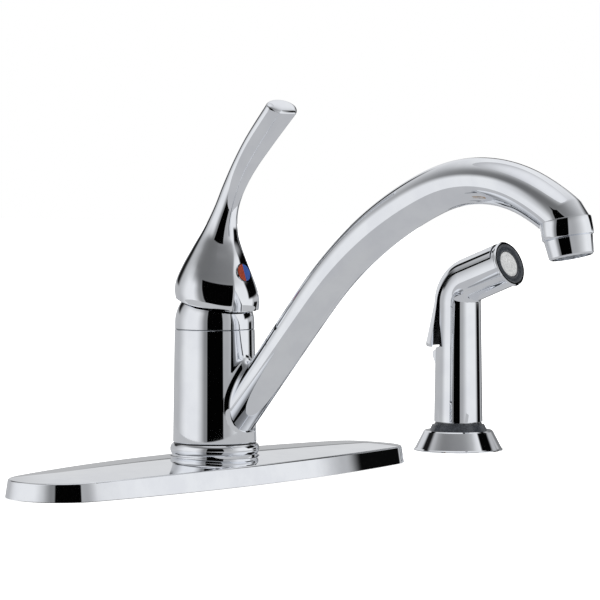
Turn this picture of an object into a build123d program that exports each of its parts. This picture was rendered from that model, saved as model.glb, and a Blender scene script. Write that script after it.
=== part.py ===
from build123d import *
import os
from math import acos, atan, atan2, cos, degrees, radians, sin, sqrt, tan

# A single-handle kitchen faucet on an oval deck plate, with a side spray beside it.
# Millimetres. Origin on the deck at the faucet body's axis, Z up, the spout points to -Y,
# and the side spray stands along +X.

# ---------------------------------------------------------------- driving sizes
# Deck plate
plate_length = 273.0
plate_width = 75.0
plate_end_radius = 27.0
plate_top = 9.9
plate_crown = 1.1
plate_foot = 0.5
plate_draft = 1.3
plate_edge_round = 1.4
plate_wall = 1.8
gasket_inset = 2.5
gasket_thick = 1.2
hub_top = 12.9
hub_half_x = 23.0
hub_half_y = 21.8
hub_foot_x = 60.0
hub_foot_y = 31.0
hub_crown_radius = 110.0

# Deck fixings
stud_spacing = 203.2
stud_radius = 6.35
stud_shank_bottom = -19.0
stud_thread_radius = 6.0
stud_length = 62.0
stud_head_across = 19.0
stud_head_thick = 3.6
deck_thickness = 20.0
washer_radius = 17.0
washer_thick = 2.5
wing_nut_height = 9.0
wing_nut_radius = 10.5
wing_span = 40.0
wing_thick = 4.0

# Faucet body
body_radius_bottom = 20.5
body_radius_top = 19.6
trim_ring_top = 17.9
trim_ring_radius = 21.1
trim_ring_belly = 21.9
trim_ring_lip = 20.8
glide_thick = 0.6
sleeve_gap = 0.05
sleeve_bore = 16.0
running_gap = 0.05
valve_tail = 12.0
valve_tail_radius = 15.5
valve_flange_radius = 22.0
waist_radius = 13.8
waist_bottom = 30.0
waist_top = 44.0
chamber_radius = 14.25
o_ring_wire = 1.27
o_ring_low = 24.0

# Inlets and outlet under the deck
tube_radius = 4.75
tube_bore = 3.6
tube_offset = 7.5
tube_set_back = 4.0
tube_lead = 16.0
tube_bend = 30.0
tube_spread = 17.0
tube_bottom = -72.0
tube_end_radius = 7.14
tube_end_length = 16.0
nipple_radius = 6.6
nipple_length = 14.0
nipple_neck_radius = 5.6
nipple_bore = 2.6
nipple_set_forward = 8.8
nipple_bottom = -30.0

# Cartridge: heights that go with the lever's pivot are measured from it
pivot_height = 76.6
sleeve_top = pivot_height - 2.8
valve_top = pivot_height + 5.4
chamber_floor = pivot_height - 24.6
o_ring_high = chamber_floor - 4.0
housing_top = pivot_height - 5.6
bonnet_nut_top = pivot_height + 4.4
carrier_top = pivot_height + 7.4
seal_thick = 2.0
disc_thick = 3.0
disc_gap = 0.02
disc_radius = 8.8
driver_thick = 3.5
housing_wall = 1.55
lip_thick = 1.3
carrier_flange_thick = 5.5
carrier_gap = 0.5
carrier_neck_radius = 9.3
slot_width = 8.4
slot_length = 12.8
pivot_pin_radius = 1.5
bonnet_nut_bore = 10.2
port_radius = 2.6

# Lever stem
stem_side = 8.0
stem_above = 33.0
stem_below = 5.0
finger_radius = 1.7
ball_radius = 2.0
ball_drop = 14.0
rest_lean = 10.4

# Bonnet cap
cap_gap = 0.3
cap_radius = 19.5
cap_wall = 1.8
cap_opening = 9.5

# Lever handle
skirt_radius = 20.7
skirt_height = 10.0
skirt_wall = 1.5
tip_dome = 3.2
button_forward = 18.6
button_height = pivot_height + 25.0
button_rise = 18.0
screw_height = 28.1
button_radius = 4.8
button_insert_radius = 4.2
button_depth = 1.6
set_screw_radius = 2.5
set_screw_length = 6.4

# Spout
spout_start_height = 38.6
spout_rise_angle = 50.3
spout_straight = 66.3
spout_long_radius = 186.8
spout_middle_angle = 23.25
spout_short_radius = 67.4
spout_end_angle = -30.0
spout_root_width = 10.4
spout_tip_width = 11.3
spout_root_depth = 9.2
spout_tip_depth = 10.7
spout_swell_end = 0.6
spout_root_flare = 1.2
spout_flare_length = 9.0
waterway_radius = 6.2
outlet_ahead = 12.56
outlet_drop = 8.36
outlet_tilt = 12.5
collar_top_radius = 11.3
collar_radius = 11.9
collar_length = 8.4
aerator_radius = 11.2
aerator_mouth_radius = 10.3
aerator_length = 9.0
aerator_wall = 1.3

# Side spray
spray_x = 203.2
flange_radius = 23.8
flange_top_radius = 18.6
flange_top = 10.6
support_shank_radius = 13.5
support_shank_length = 48.0
support_bore = 11.6
bushing_radius = 15.4
bushing_top_radius = 14.0
bushing_lip_radius = 12.4
bushing_lip_height = 13.6
bushing_top = 14.9
wand_bottom = 15.4
wand_radius_bottom = 13.0
wand_radius = 12.0
bend_height = 79.0
bend_radius = 13.2
head_rise = 20.5
head_radius = 11.8
head_length = 26.6
spigot_radius = 10.6
spigot_bottom = 3.0
guide_gap = 0.3
coupling_radius = 6.0
coupling_bottom = 0.0
coupling_top = 34.0
head_rim_radius = 12.3
nozzle_radius = 10.9
nozzle_hole = 5.9
nozzle_depth = 3.2
trigger_edge = 6.4
trigger_low = 58.0
trigger_foot_slope = 0.25
trigger_tip_radius = 15.9
trigger_bend_radius = 13.2
trigger_head_radius = 12.6
trigger_wall = 2.0
trigger_front = 22.0
trigger_floor = 4.2
trigger_floor_low = 56.0
plunger_height = 70.0
plunger_radius = 1.8
fit_gap = 0.05


# ---------------------------------------------------------------- shared shapes
def turned(*points):
    """A solid turned about Z from (radius, height) points."""
    outline = Polyline(*[(radius, 0, height) for radius, height in points], close=True)
    return revolve(make_face(outline), Axis.Z)


def tube(outer, inner, bottom, top):
    return turned((inner, bottom), (outer, bottom), (outer, top), (inner, top))


def rod(radius, bottom, top):
    return Pos(0, 0, bottom) * Cylinder(radius, top - bottom, align=(Align.CENTER, Align.CENTER, Align.MIN))


def along_y(radius, near, far):
    """A round bar on the Y axis from y = near to y = far."""
    return Pos(0, near, 0) * Rot(-90, 0, 0) * rod(radius, 0, far - near)


def cone(bottom_radius, top_radius, bottom, top):
    return turned((0, bottom), (bottom_radius, bottom), (top_radius, top), (0, top))


def o_ring(height, groove_radius):
    return Pos(0, 0, height) * Torus(groove_radius + o_ring_wire + 0.01, o_ring_wire)


def oval(length, width, end_radius):
    """A three-centred oval face: round ends joined by two long shallow arcs."""
    end_x = length / 2 - end_radius
    rise = width / 2 - end_radius
    side_drop = (end_x**2 - rise**2) / (2 * rise)
    reach = rise + side_drop
    join_x = end_x + end_radius * end_x / reach
    join_y = end_radius * side_drop / reach
    front = ThreePointArc((-join_x, -join_y), (0, -width / 2), (join_x, -join_y))
    right = ThreePointArc((join_x, -join_y), (length / 2, 0), (join_x, join_y))
    back = ThreePointArc((join_x, join_y), (0, width / 2), (-join_x, join_y))
    left = ThreePointArc((-join_x, join_y), (-length / 2, 0), (-join_x, -join_y))
    return make_face(Curve() + [front, right, back, left])


def inner_oval(inset):
    return oval(plate_length - 2 * inset, plate_width - 2 * inset, plate_end_radius - inset)


def both_studs(piece):
    """The same piece on the left and the right stud."""
    return [Pos(side * stud_spacing / 2, 0, 0) * piece for side in (-1, 1)]


nodes = {}


def keep(name, shape):
    nodes[name] = shape


# ---------------------------------------------------------------- deck plate and its fixings
insert_top = plate_top - plate_crown - plate_wall
draft_angle = degrees(atan(plate_draft / (plate_top - plate_foot)))
valve_flange_top = insert_top
valve_flange_bottom = valve_flange_top - 3.2
stud_hole = stud_radius + 1.5
hub_sink = 0.5


def hub_flare():
    """A low concave saddle, long across the plate, that gathers its top up to the trim ring."""
    steps = 6
    sections = []
    for step in range(steps + 1):
        share = step / steps
        half_x = hub_foot_x + (hub_half_x - hub_foot_x) * share
        half_y = hub_foot_y + (hub_half_y - hub_foot_y) * share
        height = plate_top - hub_sink + (hub_top - plate_top + hub_sink) * share**3
        sections.append(Pos(0, 0, height) * Ellipse(half_x, half_y))
    crown = Pos(0, 0, hub_top - hub_crown_radius) * Rot(0, 90, 0) * Cylinder(hub_crown_radius, 2 * hub_foot_x)
    return loft(sections) & crown


def crowned_block():
    """What the plate is cut to: its top falls away towards both ends."""
    half = plate_length / 2
    end_top = plate_top - plate_crown
    top = ThreePointArc((-half, 0, end_top), (0, 0, plate_top), (half, 0, end_top))
    ends = [
        Line((half, 0, end_top), (half, 0, plate_foot)),
        Line((half, 0, plate_foot), (-half, 0, plate_foot)),
        Line((-half, 0, plate_foot), (-half, 0, end_top)),
    ]
    return extrude(make_face(Curve() + [top, *ends]), plate_width, both=True)


def deck_plate():
    shell = extrude(Pos(0, 0, plate_foot) * inner_oval(0), plate_top - plate_foot + 1, taper=draft_angle)
    shell &= crowned_block()
    top_edges = shell.faces().filter_by(GeomType.CYLINDER).sort_by(Axis.Z)[-1].edges()
    shell = fillet(top_edges, plate_edge_round)
    shell += hub_flare()
    hollow = Pos(0, 0, plate_foot) * inner_oval(plate_wall)
    shell -= extrude(hollow, insert_top - plate_foot, taper=draft_angle)
    shell -= rod(trim_ring_radius + fit_gap, plate_top, hub_top + 1)
    return shell - rod(sleeve_bore, 0, hub_top + 1)


def plate_insert():
    """The moulded base inside the plate: it carries the stud heads and clears the valve body's flange."""
    inset = plate_wall + plate_draft + 0.3
    base = extrude(Pos(0, 0, gasket_thick) * inner_oval(inset), insert_top - gasket_thick)
    base -= rod(valve_flange_radius + 0.3, valve_flange_bottom, insert_top + 1)
    base -= rod(valve_tail_radius + 0.3, 0, insert_top)
    seat = Pos(0, 0, insert_top - stud_head_thick) * stud_hexagon(0.2)
    for pocket in both_studs(extrude(seat, stud_head_thick + 1)):
        base -= pocket
    for hole in both_studs(rod(stud_hole, 0, insert_top)):
        base -= hole
    rib_gap = 5.0
    window_length = stud_spacing / 2 - valve_flange_radius - stud_head_across
    for side in (-1, 1):
        middle = side * (stud_spacing / 4 + (valve_flange_radius - stud_head_across / 2) / 2)
        for half in (-1, 1):
            opening = Box(window_length / 2 - rib_gap, plate_width / 2 - 2 * rib_gap, insert_top)
            place = middle + half * (window_length / 4)
            base -= Pos(place, 0, insert_top / 2 + gasket_thick) * opening
    return base


def stud_hexagon(clearance):
    return RegularPolygon(stud_head_across / 2 + clearance, 6, major_radius=False)


def base_gasket():
    pad = extrude(inner_oval(gasket_inset), gasket_thick)
    pad -= rod(valve_tail_radius + 0.3, -1, gasket_thick + 1)
    for hole in both_studs(rod(stud_hole, -1, gasket_thick + 1)):
        pad -= hole
    return pad


def mounting_stud():
    head = extrude(Pos(0, 0, insert_top - stud_head_thick) * stud_hexagon(0), stud_head_thick)
    shank = rod(stud_radius, stud_shank_bottom, insert_top - stud_head_thick)
    return head + shank + rod(stud_thread_radius, -stud_length, stud_shank_bottom)


def wing_nut():
    """A wing nut that bears on its washer under the deck."""
    top = -deck_thickness - washer_thick
    hub = cone(wing_nut_radius * 0.8, wing_nut_radius, top - wing_nut_height, top)
    wing_height = wing_nut_height * 0.8
    wing = Box(wing_span, wing_thick, wing_height, align=(Align.CENTER, Align.CENTER, Align.MAX))
    wing = fillet(wing.edges().filter_by(Axis.Y), wing_height / 4)
    hub += Pos(0, 0, top - wing_nut_height + wing_height) * wing
    return hub - rod(stud_thread_radius + fit_gap, -stud_length, top + 1)


def stud_washer():
    return tube(washer_radius, stud_thread_radius + 0.3, -deck_thickness - washer_thick, -deck_thickness)


def trim_ring():
    """The rounded ring round the body's foot."""
    bore = sleeve_bore + fit_gap
    belly_height = (hub_top + trim_ring_top) / 2
    outline = Curve() + [
        Line((bore, 0, plate_top), (trim_ring_radius, 0, plate_top)),
        Line((trim_ring_radius, 0, plate_top), (trim_ring_radius, 0, hub_top)),
        ThreePointArc(
            (trim_ring_radius, 0, hub_top),
            (trim_ring_belly, 0, belly_height),
            (trim_ring_lip, 0, trim_ring_top),
        ),
        Line((trim_ring_lip, 0, trim_ring_top), (bore, 0, trim_ring_top)),
        Line((bore, 0, trim_ring_top), (bore, 0, plate_top)),
    ]
    return revolve(make_face(outline), Axis.Z)


def glide_ring():
    return tube(body_radius_bottom - 0.4, sleeve_bore + fit_gap, trim_ring_top, trim_ring_top + glide_thick)


keep("deck_plate", deck_plate())
keep("plate_insert", plate_insert())
keep("base_gasket", base_gasket())
keep("mounting_studs", both_studs(mounting_stud()))
keep("stud_washers", both_studs(stud_washer()))
keep("wing_nuts", both_studs(wing_nut()))
keep("trim_ring", trim_ring())
keep("glide_ring", glide_ring())


# ---------------------------------------------------------------- valve body
land_radius = sleeve_bore - running_gap
groove_radius = sleeve_bore - 0.03 - 2 * o_ring_wire - 0.02
diverter_height = (waist_bottom + waist_top) / 2
diverter_radius = 4.6
diverter_depth = 3.0


def valve_body():
    body = turned(
        (0, -valve_tail),
        (valve_tail_radius, -valve_tail),
        (valve_tail_radius, valve_flange_bottom),
        (valve_flange_radius, valve_flange_bottom),
        (valve_flange_radius, valve_flange_top),
        (land_radius, valve_flange_top),
        (land_radius, waist_bottom),
        (waist_radius, waist_bottom),
        (waist_radius, waist_top),
        (land_radius, waist_top),
        (land_radius, valve_top),
        (chamber_radius, valve_top),
        (chamber_radius, chamber_floor),
        (0, chamber_floor),
    )
    for height in (o_ring_low, o_ring_high):
        body -= tube(land_radius + 1, groove_radius, height - o_ring_wire - 0.1, height + o_ring_wire + 0.1)
    for side in (-1, 1):
        inlet = Pos(side * tube_offset, tube_set_back, 0)
        body -= inlet * rod(port_radius, -valve_tail - 1, chamber_floor + 1)
        body -= inlet * rod(tube_radius, -valve_tail - 1, 0)
    body -= Pos(0, -nipple_set_forward, 0) * rod(port_radius, diverter_height, chamber_floor + 1)
    body -= Pos(0, -nipple_set_forward, 0) * rod(nipple_bore, -valve_tail - 1, diverter_height)
    body -= Pos(0, 0, diverter_height) * along_y(diverter_radius, -land_radius, -diverter_depth)
    return body


def supply_tube(side):
    """A tube brazed into the valve body, bent outwards in an S to a male thread blank at its lower end."""
    swing = acos(1 - (tube_spread - tube_offset) / (2 * tube_bend))
    half_across = tube_bend * (1 - cos(swing / 2))
    half_down = tube_bend * sin(swing / 2)
    middle = (tube_offset + tube_spread) / 2
    turn = -tube_lead - tube_bend * sin(swing)
    foot = turn - tube_bend * sin(swing)
    places = [
        (tube_offset, 0),
        (tube_offset, -tube_lead),
        (tube_offset + half_across, -tube_lead - half_down),
        (middle, turn),
        (tube_spread - half_across, foot + half_down),
        (tube_spread, foot),
        (tube_spread, tube_bottom),
    ]
    top, lead, first, mid, second, last, end = ((side * x, tube_set_back, z) for x, z in places)
    line = Curve() + [
        Line(top, lead), ThreePointArc(lead, first, mid), ThreePointArc(mid, second, last), Line(last, end),
    ]
    start = Plane(origin=top, x_dir=(1, 0, 0), z_dir=(0, 0, -1))
    pipe = sweep(start * Circle(tube_radius), path=line)
    thread = rod(tube_end_radius, tube_bottom, tube_bottom + tube_end_length)
    pipe += Pos(side * tube_spread, tube_set_back, 0) * thread
    return pipe - sweep(start * Circle(tube_bore), path=line)


def spray_nipple():
    """The outlet for the spray's hose, screwed up into the valve body's tail."""
    nipple = rod(nipple_radius, nipple_bottom, nipple_bottom + nipple_length)
    nipple += rod(nipple_neck_radius, nipple_bottom, -valve_tail)
    return Pos(0, -nipple_set_forward, 0) * (nipple - rod(nipple_bore, nipple_bottom - 1, 0))


keep("valve_body", valve_body())
keep("hot_supply_tube", supply_tube(-1))
keep("cold_supply_tube", supply_tube(1))
keep("spray_outlet_nipple", spray_nipple())
keep("lower_o_ring", o_ring(o_ring_low, groove_radius))
keep("upper_o_ring", o_ring(o_ring_high, groove_radius))


# ---------------------------------------------------------------- diverter
poppet_radius = 1.6
diverter_front = -waist_radius + 0.4


def diverter_seat():
    seat = along_y(diverter_radius - 0.05, diverter_front, -nipple_set_forward - port_radius - 0.3)
    seat -= along_y(poppet_radius + fit_gap, diverter_front - 1, 0)
    for side in (-1, 1):
        seat -= Pos(side * diverter_radius * 0.6, 0, 0) * along_y(0.9, diverter_front - 1, 0)
    return Pos(0, 0, diverter_height) * seat


def diverter_poppet():
    """A small plunger that closes the spout's way when the side spray runs."""
    head_thick = 1.4
    head_start = -nipple_set_forward - port_radius + 1.5
    stem = along_y(poppet_radius, diverter_front + 0.3, head_start)
    head = along_y(diverter_radius - 0.6, head_start, head_start + head_thick)
    return Pos(0, 0, diverter_height) * (stem + head)


keep("diverter_seat", diverter_seat())
keep("diverter_poppet", diverter_poppet())


# ---------------------------------------------------------------- cartridge
housing_radius = chamber_radius - fit_gap
housing_bore = chamber_radius - housing_wall
seal_top = chamber_floor + seal_thick
fixed_disc_top = seal_top + disc_thick
moving_disc_bottom = fixed_disc_top + disc_gap
moving_disc_top = moving_disc_bottom + disc_thick
driver_top = moving_disc_top + driver_thick
carrier_bottom = driver_top + carrier_gap
carrier_flange_top = carrier_bottom + carrier_flange_thick
rest_shift = ball_drop * sin(radians(rest_lean))


def ported(disc):
    """Hot, cold and mixed-water ports through a flat disc of the cartridge."""
    for x, y in ((-tube_offset, tube_set_back), (tube_offset, tube_set_back), (0, -nipple_set_forward)):
        disc -= Pos(x, y, 0) * rod(port_radius - 0.4, chamber_floor - 1, fixed_disc_top + 1)
    return disc


def moving_disc():
    disc = rod(disc_radius, moving_disc_bottom, moving_disc_top)
    hollow = Box(disc_radius, disc_radius, disc_thick)
    hollow = fillet(hollow.edges().filter_by(Axis.Z), disc_radius / 4)
    disc -= Pos(0, 0, moving_disc_bottom) * hollow
    return Pos(0, rest_shift, 0) * disc


def disc_driver():
    driver = rod(disc_radius, moving_disc_top, driver_top)
    driver -= rod(ball_radius + 0.15, moving_disc_top - 1, driver_top + 1)
    return Pos(0, rest_shift, 0) * driver


def cartridge_housing():
    lip_bottom = housing_top - lip_thick
    lip_bore = carrier_neck_radius + fit_gap
    return turned(
        (housing_bore, chamber_floor),
        (housing_radius, chamber_floor),
        (housing_radius, housing_top),
        (lip_bore, housing_top),
        (lip_bore, lip_bottom),
        (housing_bore, lip_bottom),
    )


def stem_carrier():
    """The rotor that turns with the lever; the pivot pin crosses its neck."""
    carrier = rod(housing_bore - fit_gap, carrier_bottom, carrier_flange_top)
    carrier += rod(carrier_neck_radius, carrier_flange_top, carrier_top)
    carrier -= Pos(0, 0, carrier_bottom - 1) * Box(
        slot_width, slot_length, carrier_top, align=(Align.CENTER, Align.CENTER, Align.MIN)
    )
    return carrier - pin_bar(pivot_pin_radius + 0.02, 2 * carrier_neck_radius + 2)


def pin_bar(radius, length):
    return Pos(0, 0, pivot_height) * Rot(0, 90, 0) * Cylinder(radius, length)


def bonnet_nut():
    nut = tube(chamber_radius - fit_gap, bonnet_nut_bore, housing_top, bonnet_nut_top)
    notch_depth = 2.5
    for turn in range(4):
        notch = Pos(chamber_radius / 2, 0, 0) * Box(chamber_radius, notch_depth, 2 * notch_depth)
        nut -= Pos(0, 0, bonnet_nut_top) * Rot(0, 0, 45 + 90 * turn) * notch
    return nut


def bonnet_cap():
    """The polished dome that covers the cartridge and holds the spout down."""
    inner = cap_radius - cap_wall
    opening_out = pivot_height + sqrt(cap_radius**2 - cap_opening**2)
    opening_in = pivot_height + sqrt(inner**2 - cap_opening**2)
    seat_in = sqrt(inner**2 - (valve_top - pivot_height) ** 2)
    thread_bore = land_radius + 0.03

    def on_sphere(radius, across):
        return (across, 0, pivot_height + sqrt(radius**2 - across**2))

    outline = Curve() + [
        Line((thread_bore, 0, sleeve_top + cap_gap), (cap_radius, 0, sleeve_top + cap_gap)),
        Line((cap_radius, 0, sleeve_top + cap_gap), (cap_radius, 0, pivot_height)),
        ThreePointArc(
            (cap_radius, 0, pivot_height),
            on_sphere(cap_radius, cap_radius * 0.8),
            on_sphere(cap_radius, cap_opening),
        ),
        Line((cap_opening, 0, opening_out), (cap_opening, 0, opening_in)),
        ThreePointArc(
            (cap_opening, 0, opening_in),
            on_sphere(inner, (cap_opening + seat_in) / 2),
            (seat_in, 0, valve_top),
        ),
        Line((seat_in, 0, valve_top), (thread_bore, 0, valve_top)),
        Line((thread_bore, 0, valve_top), (thread_bore, 0, sleeve_top + cap_gap)),
    ]
    return revolve(make_face(outline), Axis.Z)


keep("disc_seal", ported(rod(housing_bore - 0.02, chamber_floor, seal_top)))
keep("fixed_disc", ported(rod(housing_bore - 0.02, seal_top, fixed_disc_top)))
keep("moving_disc", moving_disc())
keep("disc_driver", disc_driver())
keep("cartridge_housing", cartridge_housing())
keep("stem_carrier", stem_carrier())
keep("pivot_pin", pin_bar(pivot_pin_radius, 2 * carrier_neck_radius - 0.2))
keep("bonnet_nut", bonnet_nut())
keep("bonnet_cap", bonnet_cap())


# ---------------------------------------------------------------- lever handle
# The lever is modelled upright about its pivot and then leaned forward to its rest place.
lean_place = Pos(0, 0, pivot_height) * Rot(rest_lean, 0, 0)
skirt_sphere = sqrt(skirt_radius**2 + skirt_height**2) - skirt_wall
handle_sections = [
    # forward, above the pivot, lean, half width, half depth, strip half width, strip depth, bulge, fullness
    (1.8, 9.8, 10.4, 20.7, 20.7, 10.5, 17.8, 2.3, 0.9),
    (1.9, 13.9, 9.0, 21.0, 21.0, 10.2, 18.3, 2.2, 0.9),
    (2.0, 19.4, 7.0, 19.7, 19.7, 8.5, 17.7, 1.8, 0.9),
    (2.4, 26.9, 7.0, 16.7, 16.7, 7.0, 15.1, 1.4, 0.9),
    (3.0, 35.4, 10.0, 13.0, 13.0, 3.8, 12.4, 0.5, 0.9),
    (4.2, 44.4, 16.0, 8.7, 8.5, 1.9, 8.4, 0.1, 0.9),
    (7.4, 54.9, 24.0, 5.9, 5.8, 1.6, 5.7, 0.1, 0.9),
    (12.5, 65.4, 31.0, 5.5, 5.0, 1.5, 5.3, 0.1, 0.7),
    (19.9, 76.4, 36.0, 6.8, 4.4, 2.2, 5.9, 0.1, 0.4),
    (29.6, 88.9, 38.5, 8.8, 4.6, 3.5, 6.6, 0.1, 0.3),
    (42.3, 104.6, 40.0, 10.4, 5.0, 4.5, 7.3, 0.1, 0.3),
]
quarter_turn = 90


def lever_section(forward, above, lean, half_width, half_depth, strip, strip_depth, bulge, fullness):
    """The lever's cross-section: half an ellipse behind, faired sides and a narrow strip in front."""
    swing = acos(strip / half_width)
    depth = strip_depth / sin(swing)
    handle = 4 / 3 * tan(swing / 4)
    round_one = (strip + handle * half_width * sin(swing), -strip_depth + handle * depth * cos(swing))
    straight_one = (strip + (half_width - strip) / 3, -strip_depth * 2 / 3)
    one = [full * fullness + flat * (1 - fullness) for full, flat in zip(round_one, straight_one)]
    two = (half_width, -depth * handle * (fullness + 1) / 2)
    back = (0, half_depth)
    outline = Curve() + [
        ThreePointArc((-strip, -strip_depth), (0, -strip_depth - bulge), (strip, -strip_depth)),
        Bezier((strip, -strip_depth), tuple(one), two, (half_width, 0)),
        EllipticalCenterArc((0, 0), half_width, half_depth, start_angle=0, arc_size=quarter_turn),
        EllipticalCenterArc((0, 0), half_width, half_depth, start_angle=quarter_turn, arc_size=quarter_turn),
        Bezier((-half_width, 0), (-two[0], two[1]), (-one[0], one[1]), (-strip, -strip_depth)),
    ]
    return Pos(0, -forward, pivot_height + above) * Rot(lean, 0, 0) * make_face(outline)


def tip_cap():
    """The shallow dome on the lever's end, cut to the end's outline."""
    forward, above, lean, half_width, half_depth, strip, strip_depth = handle_sections[-1][:7]
    spread = 1.3
    overhang = 1.15
    height = tip_dome / (1 - sqrt(1 - 1 / spread**2))
    middle = (half_depth - strip_depth) / 2
    dome_x = overhang * spread * half_width
    dome_y = overhang * spread * (half_depth + strip_depth) / 2
    dome = scale(Sphere(1), by=(dome_x, dome_y, height))
    dome = Pos(0, middle, tip_dome - height) * dome
    dome = Pos(0, -forward, pivot_height + above) * Rot(lean, 0, 0) * dome
    return dome & extrude(lever_section(*handle_sections[-1]), 2 * tip_dome)


def stem_socket():
    """The square hole that takes the lever stem, with the pivot at the origin and Z along the stem."""
    side = stem_side + 0.1
    return Box(side, side, stem_above + 1, align=(Align.CENTER, Align.CENTER, Align.MIN))


def screw_axis(shape):
    """Places a shape made along +Z on the set screw's axis, square to the lever stem."""
    return lean_place * Pos(0, 0, screw_height) * Rot(90, 0, 0) * shape


def button_axis(shape):
    """Places a shape made along +Z, its outer face at the origin, where the index button lies."""
    return Pos(0, -button_forward, button_height) * Rot(90 - button_rise, 0, 0) * shape


def lever_handle():
    handle = loft([lever_section(*section) for section in handle_sections]) + tip_cap()
    handle -= Pos(0, 0, pivot_height) * Sphere(skirt_sphere)
    handle -= lean_place * stem_socket()
    handle -= screw_axis(rod(set_screw_radius + fit_gap, 0, button_forward - button_depth))
    return handle - button_axis(rod(button_radius + fit_gap, -button_depth, 2 * button_depth))


def lever_stem():
    bar_bottom = -stem_below
    bar = Box(stem_side, stem_side, stem_above + stem_below, align=(Align.CENTER, Align.CENTER, Align.MIN))
    stem = Pos(0, 0, bar_bottom) * bar
    stem += rod(finger_radius, -ball_drop, bar_bottom)
    stem += Pos(0, 0, -ball_drop) * Sphere(ball_radius)
    stem -= Rot(0, 90, 0) * Cylinder(pivot_pin_radius + 0.03, 2 * stem_side)
    return lean_place * stem


keep("lever_handle", lever_handle())
keep("lever_stem", lever_stem())


def index_button():
    cup = rod(button_radius, -button_depth, 0)
    return button_axis(cup - rod(button_insert_radius, -button_depth / 2, button_depth))


def index_half(side):
    """Half of the coloured disc: -1 is the hot half, on the left of someone at the sink."""
    disc = rod(button_insert_radius, -button_depth / 2, 0.2)
    other = Box(2 * button_insert_radius, 3 * button_insert_radius, 4 * button_depth)
    return button_axis(disc - Pos(-side * button_insert_radius, 0, 0) * other)


keep("index_button", index_button())
keep("hot_index", index_half(-1))
keep("cold_index", index_half(1))
set_screw_start = stem_side / 2 + 0.1
set_screw = rod(set_screw_radius, set_screw_start, set_screw_start + set_screw_length)
set_screw -= extrude(Pos(0, 0, set_screw_start + set_screw_length - 2) * RegularPolygon(1.4, 6), 3)
keep("set_screw", screw_axis(set_screw))


# ---------------------------------------------------------------- spout
def direction(angle):
    """Unit step (forward, up) along the spout where it rises at angle."""
    return cos(radians(angle)), sin(radians(angle))


def arc_point(start, radius, from_angle, to_angle):
    """Where an arc that starts at start and turns down from one rise angle to another ends."""
    forward, up = start
    forward += radius * (sin(radians(from_angle)) - sin(radians(to_angle)))
    up += radius * (cos(radians(to_angle)) - cos(radians(from_angle)))
    return forward, up


def blend(share):
    """A smooth step from 0 to 1 as share goes from 0 to 1."""
    share = min(max(share, 0.0), 1.0)
    return share * share * (3 - 2 * share)


knee = (
    body_radius_bottom + spout_straight * direction(spout_rise_angle)[0],
    spout_start_height + spout_straight * direction(spout_rise_angle)[1],
)
crown = arc_point(knee, spout_long_radius, spout_rise_angle, spout_middle_angle)
droop = arc_point(crown, spout_short_radius, spout_middle_angle, spout_end_angle)
outlet_y = -droop[0] - outlet_ahead
outlet_z = droop[1] - outlet_drop
outlet_angle = outlet_tilt - 90


def tip_corner():
    """Where the line of the last arc's end meets the outlet's axis."""
    ahead, outlet = direction(spout_end_angle), direction(outlet_angle)
    gap = (-outlet_y - droop[0], outlet_z - droop[1])
    run = (gap[0] * outlet[1] - gap[1] * outlet[0]) / (ahead[0] * outlet[1] - ahead[1] * outlet[0])
    return droop[0] + run * ahead[0], droop[1] + run * ahead[1]


def straight_part(steps):
    """(forward, up, rise angle) up the straight rise, from inside the sleeve's wall."""
    ahead = direction(spout_rise_angle)
    first = -(body_radius_bottom - sleeve_bore + 1) / ahead[0]
    for step in range(steps):
        run = first + (spout_straight - first) * step / steps
        yield body_radius_bottom + run * ahead[0], spout_start_height + run * ahead[1], spout_rise_angle


def arc_part(start, radius, from_angle, to_angle, steps):
    for step in range(steps):
        angle = from_angle + (to_angle - from_angle) * step / steps
        yield *arc_point(start, radius, from_angle, angle), angle


def tip_part(steps):
    """The last bend, down to the outlet's axis."""
    corner, end = tip_corner(), (-outlet_y, outlet_z)
    for step in range(steps + 1):
        share = step / steps
        forward, up = (
            droop[i] * (1 - share) ** 2 + 2 * corner[i] * share * (1 - share) + end[i] * share**2
            for i in (0, 1)
        )
        run = [(corner[i] - droop[i]) * (1 - share) + (end[i] - corner[i]) * share for i in (0, 1)]
        yield forward, up, degrees(atan2(run[1], run[0]))


def spout_path():
    """(forward, up, rise angle) about every 10 mm along the spout's centre line."""
    path = list(straight_part(7))
    path += arc_part(knee, spout_long_radius, spout_rise_angle, spout_middle_angle, 8)
    path += arc_part(crown, spout_short_radius, spout_middle_angle, spout_end_angle, 6)
    return path + list(tip_part(3))


def spout_girth(forward):
    """Half width across X and half depth of the arm where it is this far forward."""
    flare = spout_root_flare * (1 - blend((forward - body_radius_bottom + 2) / spout_flare_length))
    along = (forward - body_radius_bottom) / (-outlet_y - body_radius_bottom)
    half_width = spout_root_width + (spout_tip_width - spout_root_width) * blend(along)
    half_depth = spout_root_depth + (spout_tip_depth - spout_root_depth) * blend(along / spout_swell_end)
    return half_width + flare, half_depth + flare


def across_path(forward, up, angle):
    """The plane square to the spout's centre line, its local X across the spout."""
    step = direction(angle)
    return Plane(origin=(0, -forward, up), x_dir=(1, 0, 0), z_dir=(0, -step[0], step[1]))


def outlet_place(shape):
    """Places a shape made about Z, its top at the origin, at the spout's outlet."""
    return Pos(0, outlet_y, outlet_z) * Rot(-outlet_tilt, 0, 0) * shape


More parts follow.
